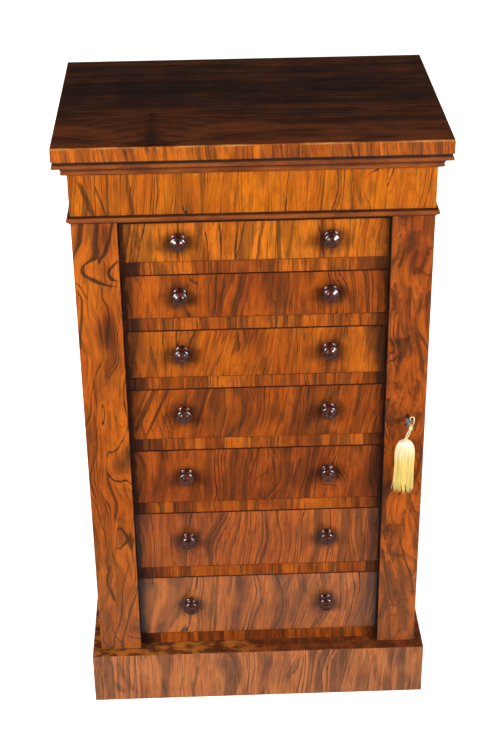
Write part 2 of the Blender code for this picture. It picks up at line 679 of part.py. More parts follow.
def build_tassel(tassel_empty):
    """A silk tassel: a domed head, a fluted skirt, and the cord loop that holds the key's bow."""
    top = Vector((KEY_X + TASSEL_SHIFT, FACE - TASSEL_STAND_OFF - TASSEL_THICK / 2,
                  KEY_HEIGHT - TASSEL_DROP))
    segments = 2 * TASSEL_FLUTES
    bm = bmesh.new()
    rings = []
    for share_down, share_out in tassel_rings():
        flute = FLUTE_SHARE * min(max((share_down - 0.15) / 0.3, 0), 1)
        ragged = FRINGE_RAGGED if share_down == 1.0 else 0.0
        ring = []
        for i in range(segments):
            angle = 2 * math.pi * i / segments
            wave = 1 if i % 2 else -1
            radius = share_out * (1 - flute + flute * wave)
            x = radius * TASSEL_WIDTH / 2 * math.cos(angle)
            y = radius * TASSEL_THICK / 2 * math.sin(angle)
            z = -share_down * TASSEL_LENGTH + ragged * (wave - 1) / 2
            ring.append(bm.verts.new((x, y, z)))
        rings.append(ring)
    for upper, lower in zip(rings, rings[1:]):
        for i in range(segments):
            j = (i + 1) % segments
            bm.faces.new((upper[i], lower[i], lower[j], upper[j]))
    bm.faces.new(rings[0])
    foot = bm.verts.new((0, 0, -(1 - 0.05) * TASSEL_LENGTH))
    for i in range(segments):
        bm.faces.new((rings[-1][i], foot, rings[-1][(i + 1) % segments]))
    bmesh.ops.recalc_face_normals(bm, faces=bm.faces)
    tassel = place("tassel", mesh_from(bm, "tassel"), CHEST, top)
    join(tassel, loop_cord(top))
    paint(smooth(tassel, 50), SILK, 0.5)
    hang(tassel_empty, tassel)


def loop_cord(top):
    """The loop of cord round the end of the key's bow, down to the tassel's top."""
    hold = Vector((HOLD_X, HOLD_Z))
    knot = Vector((top.x, top.z - LOOP_CORD_RADIUS * 2))
    radius = KEY_WIRE_RADIUS + LOOP_ROOM + LOOP_CORD_RADIUS
    reach = knot - hold
    away = math.atan2(reach.y, reach.x)
    open_angle = math.acos(radius / reach.length)
    steps = 10
    flat = []
    for i in range(steps + 1):
        angle = away + open_angle + (2 * math.pi - 2 * open_angle) * i / steps
        flat.append(hold + radius * Vector((math.cos(angle), math.sin(angle))))
    across = Vector((-reach.y, reach.x)).normalized() * LOOP_CORD_RADIUS
    strands = []
    for start, end, pull in ((flat[-1], knot - across, LOOP_PULL_LEFT),
                             (flat[0], knot + across, LOOP_PULL_RIGHT)):
        towards = Vector((KEY_X, KEY_HEIGHT)) + Vector(pull)
        strand = []
        for i in range(1, 8):
            down = i / 7
            x, z = start.lerp(towards, down).lerp(towards.lerp(end, down), down)
            strand.append((x, BOW_Y + (top.y - BOW_Y) * down, z))
        strands.append(strand)
    points = [(x, BOW_Y, z) for x, z in flat] + strands[0] + strands[1][::-1]
    return tube_along("tassel_loop", points, LOOP_CORD_RADIUS, CUTTERS, (0, 0, 0))


def knob_mesh():
    """The turned knob, its axis along Z, its collar's seat at height 0 and its peg below."""
    edge_z = KNOB_REACH - KNOB_DOME_RISE
    edge_r = KNOB_RADIUS - KNOB_RIM_RADIUS
    profile = [(0, KNOB_REACH), (edge_r * 0.42, KNOB_REACH - KNOB_DOME_RISE * 0.08),
               (edge_r * 0.80, KNOB_REACH - KNOB_DOME_RISE * 0.32)]
    profile += arc((edge_r, edge_z - KNOB_RIM_RADIUS * 0.3), KNOB_RIM_RADIUS, 62, -70, 3)
    profile += [(KNOB_NECK_RADIUS, KNOB_NECK_HEIGHT)]
    profile += arc((KNOB_COLLAR_RADIUS - KNOB_COLLAR_BEAD, KNOB_COLLAR_BEAD),
                   KNOB_COLLAR_BEAD, 80, -60, 2)
    profile += [(KNOB_COLLAR_RADIUS - KNOB_COLLAR_BEAD, 0), (KNOB_PEG_RADIUS, 0),
                (KNOB_PEG_RADIUS, -KNOB_PEG_LENGTH), (0, -KNOB_PEG_LENGTH)]
    mesh = bpy.data.meshes.new("knob")
    edges = [(i, i + 1) for i in range(len(profile) - 1)]
    mesh.from_pydata([(r, 0, z) for r, z in profile], edges, [])
    return mesh


def build_knob(name, mesh, x, z):
    knob = place(name, mesh.copy(), CHEST, (x, DRAWER_FACE - GAP, z))
    knob.rotation_euler = (math.pi / 2, 0, 0)
    screw = knob.modifiers.new("turned", 'SCREW')
    screw.axis = 'Z'
    screw.steps = KNOB_SEGMENTS
    screw.render_steps = KNOB_SEGMENTS
    screw.use_merge_vertices = True
    screw.merge_threshold = 0.00005
    screw.use_smooth_shade = True
    return paint(knob, ROSEWOOD, 0.18)


def tail_shapes(lower, height, grow):
    """Each dovetail as (tip low, tip high, root low, root high), wider at the tip."""
    count = max(2, round(height / TAIL_PITCH))
    pitch = height / count
    tip = pitch * TAIL_SHARE / 2 + grow
    root = tip - TAIL_LENGTH * TAIL_SLOPE
    middles = [lower + pitch * (i + 0.5) for i in range(count)]
    return [(m - tip, m + tip, m - root, m + root) for m in middles]


def drawer_box(name, left, right, lower, height, start, shoulder, back):
    """Sides and back in one: dovetails at the front, a groove for the bottom all the way out."""
    inner_left = left + DRAWER_SIDE_THICK
    inner_right = right - DRAWER_SIDE_THICK
    upper = lower + height
    box = block(name, (left, start, lower), (right, back, upper), CHEST)
    inside = block(name + "_inside", (inner_left, start - THROUGH, lower - THROUGH),
                   (inner_right, back - DRAWER_BACK_THICK, upper + THROUGH), CUTTERS)
    groove = block(name + "_groove",
                   (inner_left - BOTTOM_GROOVE, start - THROUGH, lower + BOTTOM_RISE),
                   (inner_right + BOTTOM_GROOVE, back + THROUGH,
                    lower + BOTTOM_RISE + BOTTOM_THICK + 2 * GAP), CUTTERS)
    under = block(name + "_under_back",
                  (inner_left, back - DRAWER_BACK_THICK - THROUGH, lower - THROUGH),
                  (inner_right, back + THROUGH, lower + BOTTOM_RISE + GAP), CUTTERS)
    tails = tail_shapes(lower, height, 0)
    below = [(lower - THROUGH, lower - THROUGH)] + [(tail[1], tail[3]) for tail in tails]
    above = [(tail[0], tail[2]) for tail in tails] + [(upper + THROUGH, upper + THROUGH)]
    spaces = []
    for (tip_low, root_low), (tip_high, root_high) in zip(below, above):
        spaces.append([(start - THROUGH, tip_low), (start, tip_low), (shoulder, root_low),
                       (shoulder, root_high), (start, tip_high), (start - THROUGH, tip_high)])
    pins = flat_outline(name + "_pins", spaces, 'YZ', left - THROUGH, right + THROUGH, CUTTERS)
    cut(box, inside, groove, under, pins)
    return paint(box, WOOD_PALE, 0.55)


def drawer_front(name, left, right, lower, upper, side_height, start, shoulder, knobs):
    """The solid front, with half-blind sockets for the dovetails and bores for the knobs."""
    front = block(name, (left, DRAWER_FACE, lower), (right, shoulder, upper), CHEST,
                  rounding=DRAWER_ARRIS)
    sockets = []
    for tip_low, tip_high, root_low, root_high in tail_shapes(lower, side_height, GAP):
        sockets.append([(start - GAP, tip_low), (shoulder, root_low),
                        (shoulder + THROUGH, root_low), (shoulder + THROUGH, root_high),
                        (shoulder, root_high), (start - GAP, tip_high)])
    depth = DRAWER_SIDE_THICK + GAP
    cut(front,
        flat_outline(name + "_sockets_left", sockets, 'YZ', left - THROUGH, left + depth,
                     CUTTERS),
        flat_outline(name + "_sockets_right", sockets, 'YZ', right - depth, right + THROUGH,
                     CUTTERS),
        block(name + "_groove",
              (left + DRAWER_SIDE_THICK - BOTTOM_GROOVE, shoulder - BOTTOM_GROOVE,
               lower + BOTTOM_RISE),
              (right - DRAWER_SIDE_THICK + BOTTOM_GROOVE, shoulder + THROUGH,
               lower + BOTTOM_RISE + BOTTOM_THICK + 2 * GAP), CUTTERS))
    for side, x in zip(("left", "right"), knobs[0]):
        cut(front, rod(f"{name}_bore_{side}", (x, DRAWER_FACE - THROUGH, knobs[1]), (0, 1, 0),
                       KNOB_PEG_RADIUS + GAP, KNOB_PEG_LENGTH + THROUGH + GAP, CUTTERS,
                       segments=KNOB_SEGMENTS))
    return paint(front, WOOD_ORANGE, 0.3)


def build_drawer(number, opening, mesh):
    name = f"drawer_{number}"
    left = OPENING_LEFT + DRAWER_END_GAP
    right = OPENING_RIGHT - DRAWER_END_GAP
    lower = opening[0] + DRAWER_RUN_GAP
    upper = opening[1] - DRAWER_TOP_GAP
    side_height = upper - lower - SIDE_DROP
    shoulder = DRAWER_FACE + FRONT_THICK
    start = shoulder - TAIL_LENGTH
    back = PANEL_FRONT - DRAWER_BACK_GAP
    knob_z = (opening[0] + opening[1]) / 2 + KNOB_RISE
    knob_xs = (OPENING_LEFT + KNOB_INSET, OPENING_RIGHT - KNOB_INSET)
    front = drawer_front(name + "_front", left, right, lower, upper, side_height, start,
                         shoulder, (knob_xs, knob_z))
    box = drawer_box(name + "_box", left, right, lower, side_height, start, shoulder, back)
    inset = DRAWER_SIDE_THICK - BOTTOM_GROOVE + GAP
    bottom_low = lower + BOTTOM_RISE + GAP
    bottom = block(name + "_bottom", (left + inset, shoulder - BOTTOM_GROOVE + GAP, bottom_low),
                   (right - inset, back, bottom_low + BOTTOM_THICK), CHEST)
    paint(bottom, WOOD_PALE, 0.6)
    knobs = [build_knob(f"{name}_knob_{side}", mesh, x, knob_z)
             for side, x in zip(("left", "right"), knob_xs)]
    slide = joint_empty(name + "_slide", ((left + right) / 2, DRAWER_FACE, (lower + upper) / 2))
    hang(slide, front, box, bottom, *knobs)


clear_scene()
CHEST = make_collection("wellington_chest")
CUTTERS = make_collection("cutters")

OPENINGS = drawer_openings()
build_top()
build_cornice()
build_frieze()
build_astragal()
build_side("side_left", -1, OPENINGS)
build_side("side_right", 1, OPENINGS)
build_back()
build_plinth()
build_left_stile()
build_lock_post()
build_rails(OPENINGS)

stile_hinge = joint_empty("stile_hinge", (HINGE_X, HINGE_Y, FLAP_BOTTOM))
bolt_slide = joint_empty("bolt_slide", (LOCK_LEFT, BOLT_FRONT, BOLT_Z), stile_hinge)
key_turn = joint_empty("key_turn", (KEY_X, FACE, KEY_HEIGHT), stile_hinge)
tassel_swing = joint_empty("tassel_swing", (HOLD_X, BOW_Y, HOLD_Z), key_turn)
build_locking_stile(stile_hinge)
build_lock(stile_hinge, bolt_slide)
build_key(key_turn)
build_tassel(tassel_swing)

KNOB = knob_mesh()
for drawer_number, drawer_opening in enumerate(OPENINGS, 1):
    build_drawer(drawer_number, drawer_opening, KNOB)
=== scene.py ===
"""Looks of the Wellington chest: veneers, turned knobs, key, tassel, floor, lamps and camera."""
import math
import random
from types import SimpleNamespace

import bmesh
import bpy
from mathutils import Matrix, Vector


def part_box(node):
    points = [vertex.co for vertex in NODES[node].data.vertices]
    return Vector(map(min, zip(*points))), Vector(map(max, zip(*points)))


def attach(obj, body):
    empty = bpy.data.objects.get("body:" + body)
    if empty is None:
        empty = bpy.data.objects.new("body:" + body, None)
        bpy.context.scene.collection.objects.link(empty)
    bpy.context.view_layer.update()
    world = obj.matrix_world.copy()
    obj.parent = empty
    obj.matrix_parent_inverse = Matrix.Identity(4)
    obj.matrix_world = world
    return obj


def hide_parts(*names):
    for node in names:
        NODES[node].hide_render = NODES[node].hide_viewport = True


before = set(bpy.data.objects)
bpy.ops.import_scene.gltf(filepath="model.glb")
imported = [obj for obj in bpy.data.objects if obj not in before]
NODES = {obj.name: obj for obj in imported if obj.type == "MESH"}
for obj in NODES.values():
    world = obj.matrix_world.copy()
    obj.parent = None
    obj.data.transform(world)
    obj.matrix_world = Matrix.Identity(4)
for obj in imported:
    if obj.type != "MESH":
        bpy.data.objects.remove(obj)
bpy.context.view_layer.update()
DRAWERS = range(1, 8)
SIDES = ("left", "right")

# Sizes of the key and the tassel, as in the CAD
KEY_X, KEY_Z = 0.2495, 0.568
KEY_BOW_HALF, KEY_BOW_DEPTH, KEY_BOW_DENT, KEY_WIRE = 0.008, 0.0056, 0.0015, 0.0015
KEY_TURN = math.radians(42)
KEY_FRONT, KEY_BACK = (corner.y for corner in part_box("key"))
BOW_Y = KEY_FRONT + KEY_BOW_DEPTH + KEY_WIRE
TASSEL_LENGTH, TASSEL_WIDTH, TASSEL_THICK = 0.103, 0.034, 0.024
LOOP_PULLS = ((0.0044, 0, -0.008), (0.011, 0, -0.012))

# The cord, its knot and the tassel's threads, which are finer here than in the CAD
CORD_RADIUS, LOOP_ROOM = 0.0008, 0.0011
KNOT_TURNS, KNOT_LENGTH, KNOT_WIDE, KNOT_DEEP = 3.2, 0.005, 0.0024, 0.0017
THREADS, THREAD_RADIUS = 260, 0.00052

# Where the top's mirrored sheets meet, the colour of painted shade and old dirt, the floor, and the
# camera
SHEETS_MEET = -0.151
SHADE_AND_GRIME = (0.014, 0.0068, 0.005)
FLOOR_LEVEL = -0.0004
CAMERA_PLACE = (-0.072, -2.3296, 1.8694)
CAMERA_YAW, CAMERA_PITCH, CAMERA_ROLL = 0.0297, 0.5097, -0.0124
FOCAL_PIXELS, PHOTO_PIXELS, SENSOR = 1533.2, 735, 36


class Value:
    """A number in a node tree. Sums, products and comparisons of it become Math nodes."""

    def __init__(self, graph, socket):
        self.graph = graph
        self.socket = socket

    def __add__(self, other):
        return self.graph.math('ADD', self, other)

    __radd__ = __add__

    def __sub__(self, other):
        return self.graph.math('SUBTRACT', self, other)

    def __rsub__(self, other):
        return self.graph.math('SUBTRACT', other, self)

    def __mul__(self, other):
        return self.graph.math('MULTIPLY', self, other)

    __rmul__ = __mul__

    def __truediv__(self, other):
        return self.graph.math('DIVIDE', self, other)

    def __gt__(self, other):
        return self.graph.math('GREATER_THAN', self, other)

    def __abs__(self):
        return self.graph.math('ABSOLUTE', self)


class Graph:
    """A material or a world, and the node tree that makes it."""

    def __init__(self, name, kind=bpy.data.materials, shader="Principled BSDF"):
        self.owner = kind.new(name)
        self.owner.use_nodes = True
        self.tree = self.owner.node_tree
        self.shader = self.tree.nodes[shader]

    def add(self, kind, inputs=None, **settings):
        node = self.tree.nodes.new('ShaderNode' + kind)
        for key, value in settings.items():
            setattr(node, key, value)
        for key, value in (inputs or {}).items():
            self.feed(node.inputs[key], value)
        return node

    def feed(self, socket, value):
        if isinstance(value, Value):
            self.tree.links.new(value.socket, socket)
        elif isinstance(value, bpy.types.NodeSocket):
            self.tree.links.new(value, socket)
        else:
            socket.default_value = value

    def value(self, kind, inputs, **settings):
        """The first output of a new node, as a number."""
        return Value(self, self.add(kind, inputs, **settings).outputs[0])

    def math(self, operation, *values):
        return self.value('Math', dict(enumerate(values)), operation=operation)

    def most(self, first, *others):
        """The largest of some numbers."""
        for other in others:
            first = self.math('MAXIMUM', first, other)
        return first

    def noise(self, x, y, z=0, detail=2, roughness=0.5, distortion=0):
        place = self.add('CombineXYZ', {0: x, 1: y, 2: z}).outputs[0]
        return self.value('TexNoise', {
            'Vector': place, 'Scale': 1, 'Detail': detail, 'Roughness': roughness,
            'Distortion': distortion})

    def random(self, value):
        return self.value('TexWhiteNoise', {'W': value}, noise_dimensions='1D')

    def step(self, value, low, high, to_low=0, to_high=1):
        """A smooth step of value, between two edges, to two results."""
        return self.value('MapRange', {
            'Value': value, 'From Min': low, 'From Max': high, 'To Min': to_low,
            'To Max': to_high}, interpolation_type='SMOOTHSTEP')

    def curve(self, value, points):
        """A smooth line through points, all of whose numbers lie between 0 and 1."""
        node = self.add('FloatCurve', {'Value': value})
        line = node.mapping.curves[0].points
        line[0].location, line[-1].location = points[0], points[-1]
        for point in points[1:-1]:
            line.new(*point)
        node.mapping.update()
        return Value(self, node.outputs[0])

    def choose(self, factor, if_zero, if_one):
        return if_zero + (if_one - if_zero) * factor

    def mix(self, factor, *tints):
        """From one colour at 0 to the other at 1."""
        node = self.add('Mix', data_type='RGBA')
        self.feed(node.inputs[0], factor)
        for socket, tint in zip(node.inputs[6:8], tints):
            self.feed(socket, (*tint, 1) if isinstance(tint, tuple) else tint)
        return node.outputs[2]

    def axes(self, output):
        """The x, y and z of a texture coordinate."""
        coords = self.add('TexCoord')
        parts = self.add('SeparateXYZ', {0: coords.outputs[output]})
        return [Value(self, axis) for axis in parts.outputs]

    def position(self):
        return self.axes('Object')

    def normal(self):
        return self.axes('Normal')

    def bump(self, height, distance, strength):
        return self.add('Bump', {
            'Height': height, 'Distance': distance, 'Strength': strength}).outputs[0]

    def shade(self, **inputs):
        """Sets the shader's inputs, named with _ for spaces, and gives the material."""
        for key, value in inputs.items():
            self.feed(self.shader.inputs[key.replace('_', ' ')], value)
        return self.owner


# Each veneer: colours, how its grain sways, swells and leans, how many growth rings it has per
# metre, which share of them stays light, the strengths of its marks, and single marks that are
# placed one by one. Knots, patches and calm places, which have few marks, are (across, along, half
# width, half length, amount). Dark streaks and lights are (across, along, half width, half length,
# strength, lean, curve), the last two only where they are not 0. A stroke is its strength, its
# softness and a row of (along, across, half width), in millimetres.
PLAIN = dict(
    light=(0.56, 0.138, 0.008), mid=(0.32, 0.066, 0.005), deep=(0.13, 0.029, 0.005),
    dark=(0.024, 0.0125, 0.0066), sway=0.03, sway_scale=(6, 5), wiggle=0.005, lean=0,
    swell=0.11, swell_scale=(13, 3.2), rings=190, light_share=0.7, bands=0.85, broad=0.6,
    broad_share=0.56, veins=0.95, mask=(0.36, 0.48), cloud=1.1, grain=1.4, sheet=0,
    sheet_tone=0, joint=0, smoke=0.58, dashes=0.54, burr=0.3, knots=(), streaks=(),
    strokes=(), calm=(), lights=(), patches=(), gloss=0.12, coat=0.028, roughness=0.45, shine=0.024)


def veneer_spec(**changes):
    return SimpleNamespace(**{**PLAIN, **changes})


def grain_axes(g, along='Z'):
    """(across, along) in metres for a grain direction, on faces of every direction."""
    x, y, z = g.position()
    nx, _, nz = g.normal()
    around = g.choose(abs(nx) > 0.7, x, y)
    upright = g.choose(abs(nz) > 0.7, z, y)
    return (around, upright) if along == 'Z' else (upright, around)


def sheets(g, run, width, seed):
    """Splits a run into sheets of veneer: (number per sheet from 0 to 1, distance to a joint)."""
    wobble = g.noise(run * (0.1 / width), seed, 0.5, detail=0)
    place = run / width + wobble * 2.6 + seed
    cell = g.math('FLOOR', place)
    edge = g.math('PINGPONG', place, 0.5) * width
    return g.random(cell + seed), edge


def bell(g, distance_squared):
    return g.math('EXPONENT', distance_squared * -1)


def spot(g, across, along, mark, square=False):
    """A soft spot as strong as its mark says, round or nearly square."""
    centre_across, centre_along, half_across, half_along, amount = mark
    u = (across - centre_across) * (1 / half_across)
    v = (along - centre_along) * (1 / half_along)
    return bell(g, u * u * u * u + v * v * v * v if square else u * u + v * v) * amount


def figured(g, across, along, seed, spec):
    """The colour and the height of a figured veneer at a point of its sheet."""
    tone_shift = 0.5
    joint = 0
    start = seed
    if spec.sheet:
        number, edge = sheets(g, across, spec.sheet, seed)
        start = number * 37 + seed
        tone_shift = (number - 0.5) * spec.sheet_tone + 0.5
        joint = g.step(edge, 0, 0.001, spec.joint, 0)
    over, up = spec.sway_scale
    sway = g.noise(across * over, along * up, start, detail=1)
    wiggle = g.noise(across * 38, along * 12, start + 3, detail=2)
    bent = across + (sway - 0.5) * spec.sway + (wiggle - 0.5) * spec.wiggle
    a = bent - along * spec.lean
    threads = g.noise(a * 170, along * 6, start + 29, detail=3, roughness=0.65)
    fibre = g.noise(a * 650, along * 26, start + 31, detail=1)
    pores = g.step(g.noise(a * 1000, along * 70, start + 37, detail=0), 0.66, 0.8)
    over, up = spec.swell_scale
    swell = g.noise(a * over, along * up, start + 11, detail=1.5, roughness=0.4)
    rings = (a + (swell - 0.5) * spec.swell) * spec.rings + (threads - 0.5) * 0.9
    for knot in spec.knots:
        rings = rings + spot(g, bent, along, knot)
    ring = g.math('FLOOR', rings)
    chance = g.random(ring + start)
    band = (g.step(chance, spec.light_share, spec.light_share + 0.2)
            * ((rings - ring) * 0.45 + 0.55))
    line = g.step(g.math('PINGPONG', rings, 0.5), 0.04, 0.2, 1, 0)
    line = line * g.step(g.random(g.math('FLOOR', rings + 0.5) + start + 5), 0.45, 0.75)
    wide = rings * 0.21 + 7.3
    broad = g.step(g.random(g.math('FLOOR', wide) + start), spec.broad_share,
                   spec.broad_share + 0.2)
    broad = broad * g.step(g.math('PINGPONG', wide, 0.5), 0, 0.26)
    fade = g.noise(a * 14, along * 8, start + 17, detail=2)
    low, high = spec.mask
    here = g.step(fade, low, high)
    flecks = g.step(g.noise(a * 330, along * 30, start + 47, detail=2), 0.6, 0.72)
    cloud = g.noise(across * 12, along * 9, start + 41, detail=3)
    tone = (cloud - 0.5) * spec.cloud + (threads - 0.5) * spec.grain + (fibre - 0.5) * 0.5
    tone = tone + (chance - 0.5) * 0.3 + tone_shift
    for patch in spec.patches:
        tone = tone + spot(g, bent, along, patch)
    base = g.mix(g.step(tone, 0.1, 0.9), spec.mid, spec.light)
    base = g.mix(g.step(tone, -0.35, 0.25, 0.75, 0), base, spec.deep)
    smoke = g.noise(a * 55, along * 8, start + 53, detail=3, roughness=0.6)
    dashes = g.noise(a * 200, along * 15, start + 59, detail=2)
    burr = g.noise(across * 50, along * 22, start + 61, detail=4, roughness=0.65,
                   distortion=0.8)
    murk = g.most(g.step(smoke + (threads - 0.5) * 0.3, 0.47, 0.66) * spec.smoke,
                  g.step(dashes + (fibre - 0.5) * 0.15, 0.55, 0.64) * spec.dashes,
                  g.step(burr + (threads - 0.5) * 0.2, 0.47, 0.64) * spec.burr)
    base = g.mix(murk, base, g.mix(0.6, spec.deep, spec.dark))
    feather = (threads - 0.5) * 0.24
    streaks = [streak_mask(g, bent, along, feather, streak) for streak in spec.streaks]
    dark = g.most(g.most(band * spec.bands, line * spec.veins) * here,
                  broad * g.step(fade, low - 0.04, high + 0.03) * spec.broad,
                  line * spec.veins * 0.35, flecks * 0.35, *streaks)
    dark = dark * g.step(threads, 0.34, 0.66, 1, 0.78)
    for place in spec.calm:
        dark = dark * (1 - spot(g, across, along, place, square=True))
    for strength, softness, points in spec.strokes:
        ragged = feather * 2.6 + (burr - 0.5) * (0.6 + 2.2 * softness)
        stroke = stroke_mask(g, across + (wiggle - 0.5) * 0.006, along, ragged, softness, points)
        dark = g.most(dark, stroke * strength)
    dark = g.most(dark, pores * 0.3, joint)
    tint = g.mix(dark, base, spec.dark)
    for streak in spec.lights:
        tint = g.mix(streak_mask(g, bent, along, feather, streak), tint, spec.light)
    return tint, fibre * 0.5 + threads * 0.5 - pores * 0.6


def streak_mask(g, across, along, feather, streak):
    """One mark, which may lean and bend, with a feathered outline."""
    centre_across, centre_along, half_across, half_along, strength, lean, curve = (
        *streak, 0, 0)[:7]
    w = along - centre_along
    u = (across - centre_across - w * lean - w * w * curve) * (1 / half_across)
    v = w * (1 / half_along)
    reach = bell(g, u * u + v * v * v * v) + feather * 1.6
    return g.step(reach, 0.25, 0.65, 0, strength)


def stroke_mask(g, across, along, feather, softness, points):
    """A dark line through (along, across, half width) points in mm, in order of along."""
    points = [[number / 1000 for number in point] for point in points]
    low, high = points[0][0], points[-1][0]
    left = min(point[1] for point in points)
    span = max(point[1] for point in points) - left
    thick = max(point[2] for point in points)
    share = (along - low) * (1 / (high - low))
    places = [((at - low) / (high - low), (place - left) / span) for at, place, _ in points]
    widths = [((at - low) / (high - low), width / thick) for at, _, width in points]
    centre = g.curve(share, places) * span + left
    far = abs(across - centre) / (g.curve(share, widths) * thick) + feather
    ends = g.step(abs(share - 0.5), 0.47, 0.51, 1, 0)
    return g.step(far, 0.4 - 0.5 * softness, 1.1 + 0.5 * softness, 1, 0) * ends


def polish(g, tint, height, spec):
    """Old shellac over veneer: a soft base under a thin glossy coat that is not quite flat."""
    x, y, z = g.position()
    ripple = g.noise(x * 16, z * 16, y * 16, detail=2)
    wear = g.noise(x * 45, z * 45, y * 45, detail=3)
    return g.shade(
        Base_Color=tint, Normal=g.bump(height, 0.00009, 0.5), Specular_IOR_Level=spec.shine,
        Roughness=g.step(wear, 0.2, 0.8, spec.roughness - 0.08, spec.roughness + 0.1),
        Coat_Normal=g.bump(ripple, 0.0006, 0.55), Coat_Weight=spec.coat,
        Coat_Roughness=spec.gloss, Coat_IOR=1.48)


def begin_veneer(name, seed, **changes):
    """A new node tree, its figured veneer's colour and height, and what the veneer is like."""
    spec = veneer_spec(**changes)
    g = Graph(name)
    return g, *figured(g, *grain_axes(g), seed, spec), spec


def veneer(name, seed, **changes):
    return polish(*begin_veneer(name, seed, **changes))


def end_shade_and_grime(g, x, rough_edge, soft, reach=1):
    """How much painted shade, with some old polish and dirt, lies beside the stiles, at both ends
    of the opening.
    """
    low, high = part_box("drawer_1_front")
    left = (x - low.x + rough_edge * 0.5) * (1 / reach)
    right = (high.x - x + rough_edge * 0.5) * (1 / reach)
    return g.most(g.step(left, 0.004, 0.014, 0.9, 0), g.step(left, 0.008, 0.034, soft, 0),
                  g.step(right, 0.002, 0.009, 0.8, 0),
                  g.step(right, 0.006, 0.022, soft * 0.8, 0))


def shadow_line(g, distance, width, strength):
    """The dirt and the shadow in the joint along an edge."""
    return g.step(distance, width * 0.4, width, strength, 0)


def rail_veneer(node, seed, **changes):
    """Cross-banding of short sheets, painted dark with shade and some dirt where it meets the
    stiles, and with a painted shadow line along its lower edge.
    """
    g, tint, height, spec = begin_veneer("banding_" + node, seed, **changes)
    x, _, z = g.position()
    rough_edge = (g.noise(x * 60, z * 45, seed, detail=2) - 0.5) * 0.03
    # Painted shade, with some dirt, beside the stiles, and a painted shadow line under the rail
    shade_and_dirt = g.most(end_shade_and_grime(g, x, rough_edge, 0.8, 1.6),
                  shadow_line(g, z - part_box(node)[0].z, 0.0009, 0.7))
    return polish(g, g.mix(shade_and_dirt, tint, SHADE_AND_GRIME), height, spec)


def stile_veneer(name, seed, inward, **changes):
    """A stile, painted lighter and duller towards its foot as a painted sheen, with its inner side
    face towards the drawers painted nearly black as shade.
    """
    g, tint, height, spec = begin_veneer(name, seed, **changes)
    # Lighter and duller towards the foot: a painted sheen, the floor's light reflected low down
    foot_sheen = g.step(g.position()[2], 0.12, 0.42, 0.24, 0)
    tint = g.mix(foot_sheen, tint, (0.34, 0.15, 0.07))
    # The inner side face, towards the drawers, painted nearly black: painted shade in the gap
    edge = g.step(g.normal()[0] * inward, 0.3, 0.7, 0, 0.96)
    return polish(g, g.mix(edge, tint, (0.006, 0.004, 0.003)), height, spec)


def drawer_veneer(number, ends=0.35, **changes):
    """A drawer front's veneer, with painted shade and some dirt round the knobs and beside the
    stiles, and painted shadow lines along its top and bottom edges.
    """
    seed = 100 + 13 * number
    g, tint, height, spec = begin_veneer(f"veneer_drawer_{number}", seed, **changes)
    x, _, z = g.position()
    low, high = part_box(f"drawer_{number}_front")
    rough_edge = (g.noise(x * 45, z * 45, seed, detail=2) - 0.5) * 0.022
    shade_and_dirt = end_shade_and_grime(g, x, rough_edge, ends)
    # Dark halos set a little below the knobs: painted shade of the knobs, with some old polish and
    # dirt
    for knob_x, knob_z in knob_axes(number):
        dx = x - knob_x
        dz = (z - (knob_z - 0.007)) * 1.2
        far = g.math('SQRT', dx * dx + dz * dz) + rough_edge
        shade_and_dirt = g.most(shade_and_dirt, g.step(far, 0.008, 0.038, 0.88, 0))
    shade_and_dirt = g.most(shade_and_dirt, shadow_line(g, high.z - z, 0.0013, 0.8),
                  shadow_line(g, z - low.z, 0.001, 0.6))
    return polish(g, g.mix(shade_and_dirt, tint, SHADE_AND_GRIME), height, spec)


def set_material(node, material):
    NODES[node].data.materials.clear()
    NODES[node].data.materials.append(material)


def knob_axes(number):
    boxes = [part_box(f"drawer_{number}_knob_{side}") for side in SIDES]
    return [((low.x + high.x) / 2, (low.z + high.z) / 2) for low, high in boxes]


